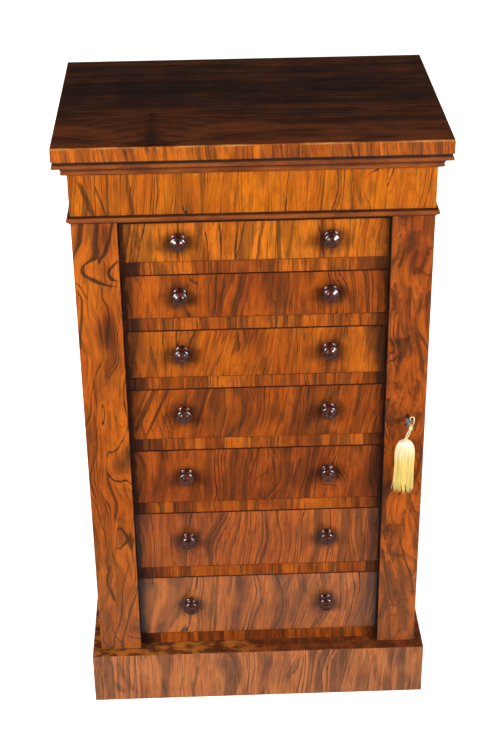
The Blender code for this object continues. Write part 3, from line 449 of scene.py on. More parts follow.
def top_material():
    """Dark bookmatched veneer on top, cross-banding on the edge, and a worn pale arris."""
    spec = veneer_spec(
        light=(0.2, 0.046, 0.009), mid=(0.05, 0.0135, 0.0052), deep=(0.014, 0.0065, 0.0042),
        dark=(0.0055, 0.0038, 0.0032), sway=0.008, sway_scale=(4, 2.5), wiggle=0.0012,
        swell=0.03, swell_scale=(16, 2.6), rings=230, light_share=0.6, broad=0.7, broad_share=0.55,
        veins=0.75, mask=(0.4, 0.54), cloud=1, grain=1.6, gloss=0.22, coat=0.02, roughness=0.5,
        shine=0.03, smoke=0.35, dashes=0.35, burr=0,
        knots=((-0.165, 0, 0.055, 0.115, 11),),
        streaks=((-0.165, 0.002, 0.058, 0.0065, 0.86), (-0.098, 0.002, 0.055, 0.0045, 0.72),
            (-0.16, 0.002, 0.064, 0.012, 0.7), (-0.155, 0.002, 0.07, 0.02, 0.48),
            (-0.082, 0, 0.0055, 0.085, 0.75, 0, -4), (-0.107, 0, 0.0055, 0.08, 0.8, 0, -4),
            (-0.132, 0, 0.005, 0.072, 0.8, 0, -4), (-0.157, 0, 0.005, 0.06, 0.8, 0, -4),
            (-0.182, 0, 0.0045, 0.045, 0.8, 0, -4)),
        lights=((-0.07, 0.055, 0.0055, 0.06, 0.3, -0.4, -2),
            (-0.095, 0.052, 0.006, 0.055, 0.42, -0.42, -2),
            (-0.12, 0.05, 0.006, 0.05, 0.5, -0.42, -2),
            (-0.145, 0.048, 0.0055, 0.045, 0.55, -0.42, -2),
            (-0.17, 0.044, 0.005, 0.036, 0.5, -0.42, -2),
            (-0.188, 0.2, 0.007, 0.11, 0.5, 0.05, 0.3), (-0.16, 0.3, 0.006, 0.12, 0.45, -0.06),
            (-0.135, 0.2, 0.0055, 0.09, 0.4, 0.08, -0.4), (-0.19, 0.42, 0.007, 0.1, 0.45, 0.02),
            (-0.12, 0.4, 0.0055, 0.11, 0.35, -0.05)),
        patches=((-0.2, 0.16, 0.045, 0.26, 1.15), (-0.19, -0.2, 0.04, 0.15, 0.6),
            (-0.155, 0.03, 0.045, 0.11, 1), (0.05, 0.2, 0.12, 0.5, -0.3),
            (-0.125, 0.1, 0.012, 0.12, 0.5)))
    edge = veneer_spec(
        light=(0.7, 0.165, 0.004), mid=(0.42, 0.082, 0.004), deep=(0.16, 0.032, 0.004),
        smoke=0.55, sway=0.004, wiggle=0.003, lean=-0.12, swell=0.02, swell_scale=(40, 10),
        rings=260, light_share=0.72, broad=0.5, mask=(0.42, 0.5), sheet=0.03, sheet_tone=0.5,
        joint=0.5)
    g = Graph("veneer_top")
    x, y, z = g.position()
    mirrored = abs(x - SHEETS_MEET)
    top_tint, height = figured(g, y, mirrored, 4, spec)
    edge_tint = figured(g, *grain_axes(g), 9, edge)[0]
    low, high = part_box("top_board")
    wander = (g.noise(x * 60, y * 60, 2, detail=3) - 0.5) * 0.003
    inside = g.math('MINIMUM', y - low.y, g.math('MINIMUM', x - low.x, high.x - x))
    is_top = g.step(inside + wander, 0.0008, 0.0014) * (g.normal()[2] > 0.7)
    tint = g.mix(is_top, edge_tint, top_tint)
    arris = (g.step(y - low.y + wander, 0.0022, 0.0038, 1, 0)
             * g.step(z, high.z - 0.003, high.z - 0.0012))
    worn = g.step(g.noise(x * 24, y * 24, 7, detail=3), 0.38, 0.6)
    tint = g.mix(arris * worn * 0.7, tint, (0.66, 0.27, 0.06))
    return polish(g, tint, height, spec)


def moulding_material(name, tint_light, tint_deep, seed, shaded_grooves):
    """Red-brown hardwood, its grain along the moulding, with painted shade in its grooves under the
    overhangs.
    A groove is (lowest, highest, strength), heights of the chest."""
    g = Graph(name)
    x, y, z = g.position()
    run = g.choose(abs(g.normal()[0]) > 0.3, x, y)
    turn = z + y * 0.7
    streak = g.noise(turn * 120, run * 4, seed, detail=3, roughness=0.6)
    fibre = g.noise(turn * 700, run * 24, seed + 3, detail=1)
    patch = g.noise(run * 22, z * 20, seed + 9, detail=3)
    worn = g.noise(x * 55, y * 55, z * 200, detail=3)
    tone = g.step(streak * 0.6 + fibre * 0.15 + patch * 0.6, 0.46, 0.88)
    tint = g.mix(tone, tint_deep, tint_light)
    # Painted shade in each groove, a little weaker where worn
    for lowest, highest, strength in shaded_grooves:
        inside = g.step(z, lowest - 0.0006, lowest + 0.0006)
        inside = inside * g.step(z, highest - 0.0006, highest + 0.0006, 1, 0)
        inside = inside * g.step(worn, 0.3, 0.42, 0.75, 1) * strength
        tint = g.mix(inside, tint, (0.012, 0.01, 0.007))
    spec = veneer_spec(gloss=0.16, coat=0.05, roughness=0.42, shine=0.04)
    return polish(g, tint, fibre * 0.4 + streak * 0.4, spec)


def plinth_material():
    """Figured veneer outside, and an amber ledge on top with worn patches, painted darker as shade
    because it faces up.
    """
    g, tint, height, spec = begin_veneer(
        "veneer_plinth", 58,
        light=(0.6, 0.2, 0.055), mid=(0.42, 0.122, 0.033), deep=(0.2, 0.058, 0.02), burr=0.2,
        dark=(0.05, 0.024, 0.015), gloss=0.22, coat=0.28, swell=0.1, veins=1, smoke=0.5,
        swell_scale=(12, 4), light_share=0.62, broad=0.75, broad_share=0.5, lean=0.02,
        mask=(0.34, 0.46),
        streaks=((-0.266, 0.05, 0.008, 0.04, 0.55, -0.55, 5),
            (-0.24, 0.05, 0.006, 0.04, 0.45, -0.45, 4), (0.205, 0.05, 0.006, 0.04, 0.5, -0.2, 3)))
    x, y, _ = g.position()
    worn = g.noise(x * 34, y * 60, 4, detail=3)
    bright = g.mix(g.step(x, -0.07, 0.03), (0.38, 0.125, 0.012), (0.17, 0.034, 0.006))
    shaded_amber = g.mix(g.step(worn, 0.42, 0.62), (0.056, 0.0125, 0.004), bright)
    # The upward ledge takes the darker amber: painted shade on the face turned up, with worn
    # patches
    tint = g.mix((g.normal()[2] > 0.7) * 0.86, tint, shaded_amber)
    return polish(g, tint, height, spec)


def lining_material(name, light, deep, seed, along, board=0.09):
    """Plain unpolished boards, with straight soft growth lines and a few stains."""
    g = Graph(name)
    across, length = grain_axes(g, along)
    number, edge = sheets(g, across, board, seed)
    sway = g.noise(across * 4, length * 1.2, seed + number * 9, detail=2)
    a = across + (sway - 0.5) * 0.012
    growth = g.noise(a * 130, length * 2.2, seed + number * 9, detail=3, roughness=0.6)
    lines = g.step(g.noise(a * 320, length * 5, seed + 7, detail=2), 0.52, 0.66)
    fibre = g.noise(a * 700, length * 22, seed + 2, detail=2)
    stain = g.noise(across * 7, length * 5, seed + 5, detail=3)
    tone = growth * 0.7 + fibre * 0.4 + stain * 0.6 + number * 0.12 - lines * 0.22
    tint = g.mix(g.step(tone, 0.45, 1.15), deep, light)
    tint = g.mix(g.step(edge, 0.0002, 0.0007, 0.55, 0), tint, (0.05, 0.03, 0.018))
    return g.shade(Base_Color=tint, Roughness=g.step(fibre, 0.2, 0.8, 0.6, 0.78),
                   Normal=g.bump(fibre - lines * 0.5, 0.00025, 0.6), Specular_IOR_Level=0.25)


def knob_material():
    """Nearly black turned rosewood under a high polish."""
    g = Graph("knob_rosewood")
    x, y, z = g.position()
    streak = g.noise(x * 160, z * 160, y * 900, detail=3, roughness=0.6)
    rings = g.noise(x * 420, z * 60, y * 420, detail=2)
    tone = g.step(streak * 0.6 + rings * 0.4, 0.4, 0.66)
    tint = g.mix(tone, (0.013, 0.0036, 0.0025), (0.13, 0.02, 0.006))
    return g.shade(Base_Color=tint, Roughness=g.step(streak, 0.3, 0.7, 0.22, 0.34),
                   Normal=g.bump(streak, 0.00006, 0.4), Coat_Weight=0.22, Coat_Roughness=0.1,
                   Specular_IOR_Level=0.06)


def metal_material(name, light, deep, roughness, metallic, scale):
    g = Graph(name)
    x, y, z = g.position()
    spots = g.noise(x * scale, z * scale, y * scale, detail=4, roughness=0.65)
    fine = g.noise(x * scale * 6, z * scale * 6, y * scale * 6, detail=2)
    tint = g.mix(g.step(spots * 0.7 + fine * 0.3, 0.38, 0.64), deep, light)
    rough = g.step(spots, 0.3, 0.7, roughness - 0.08, roughness + 0.14)
    return g.shade(Base_Color=tint, Roughness=rough, Normal=g.bump(fine, 0.00008, 0.5),
                   Metallic=metallic)


def silk_material():
    """Twisted silk thread: creamy on the tassel's head, partly a painted sheen, golden lower down,
    with a soft sheen.
    """
    g = Graph("silk")
    x, y, z = g.position()
    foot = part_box("tassel")[0].z
    twist = g.noise(x * 1100, y * 1100, z * 300, detail=2)
    shade = g.noise(x * 260, y * 260, z * 16, detail=2)
    height = z + (shade - 0.5) * 0.012
    gold = g.mix(g.step(shade, 0.34, 0.64), (0.88, 0.6, 0.115), (0.98, 0.8, 0.23))
    cream_and_sheen = g.mix(g.step(shade, 0.34, 0.6), (0.84, 0.64, 0.26), (0.97, 0.86, 0.52))
    # The head is painted paler cream: partly a painted sheen of the light on its dome
    tint = g.mix(g.step(height, foot + 0.06, foot + 0.084), gold, cream_and_sheen)
    tint = g.mix(g.step(twist, 0.3, 0.5, 0.22, 0), tint, (0.62, 0.38, 0.08))
    return g.shade(Base_Color=tint, Roughness=g.step(twist, 0.3, 0.7, 0.34, 0.5),
                   Normal=g.bump(twist, 0.0001, 0.5), Sheen_Weight=0.25, Sheen_Roughness=0.4)


def add_object(name, data):
    obj = bpy.data.objects.new(name, data)
    bpy.context.scene.collection.objects.link(obj)
    return obj


def new_object(name, bm, material):
    mesh = bpy.data.meshes.new(name)
    bmesh.ops.recalc_face_normals(bm, faces=bm.faces)
    bm.to_mesh(mesh)
    bm.free()
    mesh.materials.append(material)
    mesh.shade_smooth()
    return add_object(name, mesh)


def revolve(bm, profile, segments, matrix):
    """Turns (radius, height) points about Z into a closed skin, and places it."""
    rings = []
    for radius, height in profile:
        angles = [math.tau * i / segments for i in range(segments if radius else 1)]
        rings.append([bm.verts.new(matrix @ Vector((
            radius * math.cos(angle), radius * math.sin(angle), height))) for angle in angles])
    for upper, lower in zip(rings, rings[1:]):
        for i in range(segments):
            j = (i + 1) % segments
            corners = [upper[i % len(upper)], lower[i % len(lower)], lower[j % len(lower)],
                       upper[j % len(upper)]]
            bm.faces.new(list(dict.fromkeys(corners)))


def arc(centre, radius, start, end, steps):
    angles = [math.radians(start + (end - start) * i / steps) for i in range(steps + 1)]
    return [(centre[0] + radius * math.cos(a), centre[1] + radius * math.sin(a)) for a in angles]


def knob_profile(reach, radius):
    """From the middle of the domed face, over the round edge and the neck, to the collar."""
    rim = 0.0036
    rise = 0.0054
    edge = radius - rim
    edge_z = reach - rise - rim * 0.3
    points = [(edge * 0.93 * i / 8, reach - rise * 0.56 * (i / 8) ** 2.2) for i in range(8)]
    points += arc((edge, edge_z), rim, 66, -74, 16)
    points += [(0.008, 0.0098), (0.0069, 0.0086), (0.0066, 0.0076), (0.0069, 0.0067)]
    points += arc((0.0078, 0.0058), 0.0011, 100, -50, 6)
    points += [(0.0084, 0.0044)]
    points += arc((0.0096, 0.0021), 0.002, 112, -66, 10)
    points += [(0.0096, 0), (0, 0)]
    return points


def tube(bm, points, radius, sides=8, closed=False):
    """A round tube along points, with a parallel-transported frame."""
    count = len(points)
    rings = []
    normal = None
    for i, point in enumerate(points):
        ahead = points[(i + 1) % count] if closed or i < count - 1 else point
        behind = points[i - 1] if closed or i > 0 else point
        direction = (ahead - behind).normalized()
        if normal is None:
            normal = direction.orthogonal().normalized()
        normal = (normal - direction * normal.dot(direction)).normalized()
        other = direction.cross(normal)
        size = radius(i / max(count - 1, 1)) if callable(radius) else radius
        rings.append([bm.verts.new(point + size * (math.cos(a) * normal + math.sin(a) * other))
                      for a in (math.tau * k / sides for k in range(sides))])
    pairs = list(zip(rings, rings[1:]))
    if closed:
        pairs.append((rings[-1], rings[0]))
    for first, second in pairs:
        for k in range(sides):
            m = (k + 1) % sides
            bm.faces.new((first[k], second[k], second[m], first[m]))
    if not closed:
        bm.faces.new(rings[0])
        bm.faces.new(list(reversed(rings[-1])))


def make_knobs(material):
    for number in DRAWERS:
        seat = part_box(f"drawer_{number}_front")[0].y
        for side, (x, z) in zip(SIDES, knob_axes(number)):
            node = f"drawer_{number}_knob_{side}"
            low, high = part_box(node)
            turn = Matrix.Translation((x, seat, z)) @ Matrix.Rotation(math.pi / 2, 4, 'X')
            bm = bmesh.new()
            revolve(bm, knob_profile(seat - low.y, (high.x - low.x) / 2), 56, turn)
            knob = new_object(f"knob_{number}_{side}", bm, material)
            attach(knob, f"drawer_{number}")
            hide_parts(node)


def tassel_width(share):
    """Half width of the tassel as a share of its widest, at a share of its length."""
    marks = [(0, 0.1), (0.015, 0.34), (0.04, 0.54), (0.08, 0.72), (0.14, 0.87), (0.21, 0.96),
             (0.29, 1), (0.38, 0.975), (0.52, 0.93), (0.7, 0.93), (0.86, 0.97), (1, 0.99)]
    for (low, at_low), (high, at_high) in zip(marks, marks[1:]):
        if share <= high:
            part = (share - low) / (high - low)
            return at_low + (at_high - at_low) * part
    return marks[-1][1]


def make_tassel(material):
    """A core with separate threads over it, which part and fray at the bottom."""
    draw = random.Random(7)
    low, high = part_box("tassel")
    centre = Vector((low.x + TASSEL_WIDTH / 2, high.y - TASSEL_THICK / 2, low.z + TASSEL_LENGTH))
    bm = bmesh.new()
    core = [(0.86 * tassel_width(t / 20), -t / 20) for t in range(17)] + [(0, -0.8)]
    size = Matrix.Diagonal((TASSEL_WIDTH / 2, TASSEL_THICK / 2, TASSEL_LENGTH, 1))
    revolve(bm, [(0, 0)] + core, 24, Matrix.Translation(centre) @ size)
    for number in range(THREADS):
        turn = math.tau * (number + draw.uniform(-0.4, 0.4)) / THREADS
        turn *= 1 + number % 2 * 1e-3
        layer = (0.985, 0.93, 0.88)[number % 3] - draw.uniform(0, 0.03)
        end = draw.uniform(0.9, 1) - 0.035 * (0.5 + 0.5 * math.cos(turn * 6 + 1))
        clump = 0.05 * math.sin(turn * 9 + 0.7)
        drift = draw.uniform(-0.22, 0.22)
        flare = draw.uniform(-0.05, 0.03)
        points = []
        for i in range(21):
            share = end * i / 20
            loose = max(share - 0.3, 0) / 0.7
            angle = turn + 0.1 * math.sin(share * 7 + turn * 3) * loose + drift * loose ** 2
            out = tassel_width(share) * layer + (clump + flare) * loose
            points.append(centre + Vector((out * math.cos(angle) * TASSEL_WIDTH / 2,
                                           out * math.sin(angle) * TASSEL_THICK / 2,
                                           -share * TASSEL_LENGTH)))
        tube(bm, points, lambda t: THREAD_RADIUS * min(1, 1 - 3.75 * (t - 0.8)), 5)
    stray = ((-0.0158, -0.002, -0.045), (-0.017, -0.003, -0.064), (-0.018, -0.004, -0.08),
             (-0.0205, -0.004, -0.094))
    tube(bm, spaced([centre + Vector(place) for place in stray], 12),
         lambda t: 0.0009 * (1 - 0.7 * t), 6)
    threads = new_object("tassel_threads", bm, material)
    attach(threads, "tassel_body")
    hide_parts("tassel")
    return centre


def spaced(points, count):
    """A smooth line through points, as count + 1 points."""
    line = []
    ends = [points[0] * 2 - points[1]] + points + [points[-1] * 2 - points[-2]]
    for i in range(count + 1):
        place = min(i / count * (len(points) - 1), len(points) - 1 - 1e-9)
        k = int(place)
        t = place - k
        p0, p1, p2, p3 = ends[k:k + 4]
        line.append(0.5 * (2 * p1 + (p2 - p0) * t + (2 * p0 - 5 * p1 + 4 * p2 - p3) * t ** 2
                           + (3 * p1 - p0 - 3 * p2 + p3) * t ** 3))
    return line


def make_loop(material, top):
    """The cord loop: up from the tassel's top, round the end of the key's bow, and back."""
    axis = Vector((KEY_X, 0, KEY_Z))
    hold = axis + KEY_BOW_HALF * Vector((math.sin(KEY_TURN), 0, math.cos(KEY_TURN)))
    knot = Vector((top.x, 0, top.z - 2 * CORD_RADIUS))
    radius = KEY_WIRE + LOOP_ROOM + CORD_RADIUS
    reach = knot - hold
    away = math.atan2(reach.z, reach.x)
    opening = math.acos(radius / reach.length)
    round_wire = []
    for i in range(13):
        angle = away + opening + (math.tau - 2 * opening) * i / 12
        round_wire.append(hold + radius * Vector((math.cos(angle), 0, math.sin(angle))))
    across = Vector((-reach.z, 0, reach.x)).normalized() * CORD_RADIUS
    strands = []
    for start, end, pull in ((round_wire[-1], knot - across, LOOP_PULLS[0]),
                             (round_wire[0], knot + across, LOOP_PULLS[1])):
        towards = axis + Vector(pull)
        strand = []
        for i in range(1, 13):
            down = i / 12
            point = start.lerp(towards, down).lerp(towards.lerp(end, down), down)
            point.y = BOW_Y + (top.y - BOW_Y) * down
            strand.append(point)
        strands.append(strand)
    for point in round_wire:
        point.y = BOW_Y
    for left, right, share in zip(*strands, range(1, 13)):
        pinch = math.exp(-((share / 12 - 0.52) / 0.22) ** 2)
        middle = (left + right) / 2
        apart = (right - left) / 2
        apart *= 1 - pinch * (1 - min(1.02 * CORD_RADIUS / apart.length, 1))
        left[:], right[:] = middle - apart, middle + apart
    path = strands[1][::-1] + round_wire + strands[0]
    bm = bmesh.new()
    tube(bm, path, CORD_RADIUS, 10)
    knot_at = (strands[0][5] + strands[1][5]) / 2
    along = (strands[0][6] + strands[1][6] - strands[0][4] - strands[1][4]).normalized()
    side = (strands[1][5] - strands[0][5]).normalized()
    front = along.cross(side)
    coil = []
    for i in range(61):
        angle = math.tau * KNOT_TURNS * i / 60
        coil.append(knot_at + along * (i / 60 - 0.5) * KNOT_LENGTH
                    + side * math.cos(angle) * KNOT_WIDE + front * math.sin(angle) * KNOT_DEEP)
    tube(bm, coil, CORD_RADIUS, 8)
    loop = new_object("tassel_cord", bm, material)
    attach(loop, "tassel_body")
    length = sum((b - a).length for a, b in zip(path, path[1:]))


def make_key(material):
    """Kidney bow with the stem across it, a ringed collar, the shank and the bit."""
    turn = Matrix.Translation((KEY_X, 0, KEY_Z)) @ Matrix.Rotation(KEY_TURN, 4, 'Y')
    bow = []
    for i in range(56):
        angle = math.tau * i / 56
        across = KEY_BOW_HALF * math.cos(angle)
        along = KEY_BOW_DEPTH * math.sin(angle)
        if along > 0:
            along -= KEY_BOW_DENT * math.exp(-(3 * across / KEY_BOW_HALF) ** 2)
        bow.append(turn @ Vector((0, BOW_Y + along, across)))
    bm = bmesh.new()
    tube(bm, bow, KEY_WIRE, 12, closed=True)
    start = BOW_Y - KEY_BOW_DEPTH
    depth = KEY_BACK - start
    collar = 2 * KEY_BOW_DEPTH - 0.0008
    rings = ((0.0013, -0.0003), (0.0026, 0), (0.0028, 0.0012), (0.0036, 0.0017),
             (0.0038, 0.0024), (0.0036, 0.0031), (0.0027, 0.0035), (0.0026, 0.004))
    steps = [(0, 0), (0.0012, 0.0002)] + [(radius, collar + up) for radius, up in rings]
    steps += [(0.0026, depth - 0.0002), (0.0024, depth), (0, depth)]
    along_y = Matrix.Translation((KEY_X, start, KEY_Z)) @ Matrix.Rotation(-math.pi / 2, 4, 'X')
    revolve(bm, steps, 24, along_y)
    bit = turn @ Matrix.Translation((0, KEY_BACK - 0.0016, -0.0032)) @ Matrix.Diagonal(
        (0.002, 0.0028, 0.006, 1))
    box = bmesh.ops.create_cube(bm, size=1, matrix=bit)
    bmesh.ops.bevel(bm, geom=list({e for v in box['verts'] for e in v.link_edges}),
                    offset=0.0002, segments=2, affect='EDGES', profile=0.5)
    key = new_object("key_bow", bm, material)
    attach(key, "key_body")
    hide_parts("key")


def make_floor():
    g = Graph("floor_paper")
    x, y, _ = g.position()
    paper = g.mix(g.noise(x * 2, y * 2), (0.8, 0.8, 0.8), (0.84, 0.84, 0.84))
    rays = g.add('LightPath').outputs
    seen = g.most(rays['Is Camera Ray'], rays['Is Glossy Ray'], rays['Is Transmission Ray'])
    near = g.step(y, -1.1, -0.5, 0.12, 0.62)
    lift = g.most(near, g.step(y, 0.3, 3, 0.62, 0.98))
    far = g.step(g.math('SQRT', x * x + y * y), 1.5, 2.8, 0, 0.98)
    glow = g.most(g.choose(y > 0.3, near, lift), far)
    g.shade(Base_Color=paper, Roughness=0.8, Specular_IOR_Level=0.1,
            Emission_Strength=seen * glow, Emission_Color=(1, 1, 1, 1))
    bm = bmesh.new()
    bmesh.ops.create_grid(bm, x_segments=1, y_segments=1, size=30)
    floor = new_object("floor", bm, g.owner)
    floor.location.z = FLOOR_LEVEL


def make_world():
    """Light from all round, weaker overhead, and white where the camera sees it."""
    g = Graph("studio", bpy.data.worlds, "Background")
    bpy.context.scene.world = g.owner
    ramp = g.step(g.axes('Generated')[2], 0.02, 0.35, 0.42, 0.13)
    seen = g.add('LightPath').outputs['Is Camera Ray']
    g.shade(Strength=g.most(ramp, seen), Color=(1, 1, 1, 1))


def make_lamp(name, location, target, size, power, glow=False):
    data = bpy.data.lights.new(name, 'AREA')
    data.shape = 'RECTANGLE'
    data.size, data.size_y = size
    data.energy = power
    lamp = add_object(name, data)
    lamp.location = location
    lamp.rotation_euler = (Vector(target) - Vector(location)).to_track_quat('-Z', 'Y').to_euler()
    lamp.visible_diffuse = not glow
    lamp.visible_glossy = glow


def make_camera():
    """The camera that the photo's corners fit best."""
    data = bpy.data.cameras.new("camera")
    data.sensor_width = SENSOR
    data.lens = FOCAL_PIXELS * SENSOR / PHOTO_PIXELS
    camera = add_object("camera", data)
    camera.matrix_world = (
        Matrix.Translation(CAMERA_PLACE) @ Matrix.Rotation(-CAMERA_YAW, 4, 'Z')
        @ Matrix.Rotation(math.pi / 2 - CAMERA_PITCH, 4, 'X')
        @ Matrix.Rotation(CAMERA_ROLL, 4, 'Z'))
    bpy.context.scene.camera = camera


# The bold lines and blots of the stiles, in millimetres
LEFT_STROKES = (
    (0.84, 0.15, ((866, -279, 0.6), (878, -275, 2.6), (893, -268, 4.2), (916, -264.3, 5.2),
        (932, -262, 5.6))),
    (0.88, 0.15, ((816.5, -214, 6), (824.3, -239, 10), (833.6, -254, 7.4), (841.6, -264, 4.2),
        (852, -264, 3.6), (860, -256.5, 5.6), (865.6, -248.2, 8), (871, -245.2, 9.2),
        (893, -243.2, 7), (916, -240, 6), (932, -239, 6))),
    (0.86, 0.15, ((856, -240, 0.6), (865.6, -237.7, 5), (871, -233, 6.2), (893, -222.5, 4.4),
        (916, -216.4, 3.4), (932, -213, 3.4))),
    (0.6, 0.15, ((822, -228.3, 3), (830, -231.2, 2), (841.6, -231.9, 1.6), (852, -231.2, 1.3),
        (862, -233, 0.6))),
    (0.86, 0.15, ((826.5, -209, 7), (830, -220, 6), (836.5, -224.9, 3.6), (843.3, -225.6, 3.2),
        (852, -220, 3.6), (862, -210, 3))),
    (0.76, 0.15, ((706, -235, 0.8), (732, -234.5, 4.6), (752, -231, 4.4), (772, -229, 3.2),
        (788, -231.5, 2.6), (804, -237.2, 2.4), (820, -235.2, 3))),
    (0.76, 0.15, ((706, -279, 0.8), (732, -276.6, 3.6), (752, -273.5, 3.6), (772, -271.2, 3.2),
        (793.6, -270.3, 2.2), (806, -274, 1.8), (814.9, -280, 1.6))),
    (0.7, 0.15, ((797, -261.8, 0.6), (801.6, -263.5, 1.8), (814.9, -269.2, 2), (825.6, -276.5, 1.8),
        (829, -280, 1.4))),
    (0.9, 0.2, ((206, -250, 1), (228, -256, 4.8), (250, -260, 4), (271, -256, 3),
        (285, -254, 0.6))),
    (0.9, 0.2, ((100, -257.5, 2.2), (127, -253, 2.2), (155, -245, 2.2), (181, -239, 2.8),
        (209, -237, 1.6), (240, -233, 1.4), (261, -227, 1.2), (292, -219, 0.8))),
    (0.9, 0.2, ((100, -241.5, 3), (126, -238, 2.6), (152, -231, 2.2), (180, -225, 2.6),
        (208, -216, 2.1), (240, -208.5, 1.2))))
RIGHT_STROKES = (
    (0.6, 0.8, ((860, 237, 1), (868, 241, 8), (879, 244, 12), (888, 243, 9), (894, 241, 1))),
    (0.6, 0.8, ((838, 225, 1), (846, 227.5, 4), (858, 231.5, 5), (870, 235, 5), (876, 238, 2))),
    (0.6, 0.8, ((824, 252, 1), (834, 250, 5), (848, 249, 5.5), (862, 251, 5), (870, 252, 2))),
    (0.58, 0.8, ((822, 274, 6), (829, 264, 6.5), (836, 254, 6), (842, 245, 3))),
    (0.6, 0.8, ((856.5, 269, 1), (859, 270.5, 4), (862.5, 271, 4.5), (866, 270, 0.8))),
    (0.58, 0.8, ((898, 233.5, 0.4), (908, 233.5, 1.6), (932, 232.5, 2))),
    (0.58, 0.8, ((896, 245, 0.4), (908, 243.2, 2.2), (932, 242, 2.8))),
    (0.58, 0.8, ((896, 260, 0.4), (908, 261.5, 2.2), (932, 263, 2.6))),
    (0.45, 0.8, ((888, 245, 4), (892, 249, 18), (897, 251, 19), (901, 255, 4))),
    (0.66, 0.8, ((762, 220, 0.8), (772, 221.5, 4), (788, 222.5, 5.6), (802, 221.5, 4.4),
        (814, 220, 0.8))),
    (0.58, 0.8, ((728, 274, 1), (750, 273.5, 3.6), (775, 273, 4), (796, 274, 1))),
    (0.52, 0.8, ((750, 260, 0.8), (766, 261, 4.2), (782, 262, 4.4), (796, 263, 0.8))),
    (0.6, 0.8, ((728, 246, 0.6), (750, 245, 1.8), (780, 244.8, 2), (802, 243, 0.6))),
    (0.66, 0.8, ((118, 263.5, 1), (130, 262, 5.6), (181, 254.8, 7.8), (239, 255.2, 8.8),
        (277, 246, 6.6), (310, 242, 1.2))),
    (0.88, 0.2, ((172, 240, 0.8), (184, 237.6, 1.8), (210, 230.4, 3), (235, 227.1, 3.6),
        (269, 221, 3.2), (300, 218, 1))),
    (0.86, 0.2, ((200, 273.5, 0.8), (217, 272.2, 1.9), (246, 266.7, 2.4), (274, 258.2, 2),
        (307, 249.4, 1.5), (330, 245, 0.6))),
    (0.84, 0.2, ((130, 263, 0.6), (144, 264, 2), (155, 262.8, 2), (180, 259, 0.6))),
    (0.86, 0.2, ((98, 237, 3.4), (112, 236, 3.3), (126, 234.6, 2.8), (140, 234, 1))),
    (0.64, 0.8, ((100, 230, 2), (115, 231.1, 3.6), (149, 232.4, 4.8), (208, 222.6, 4),
        (222, 221, 0.8))))


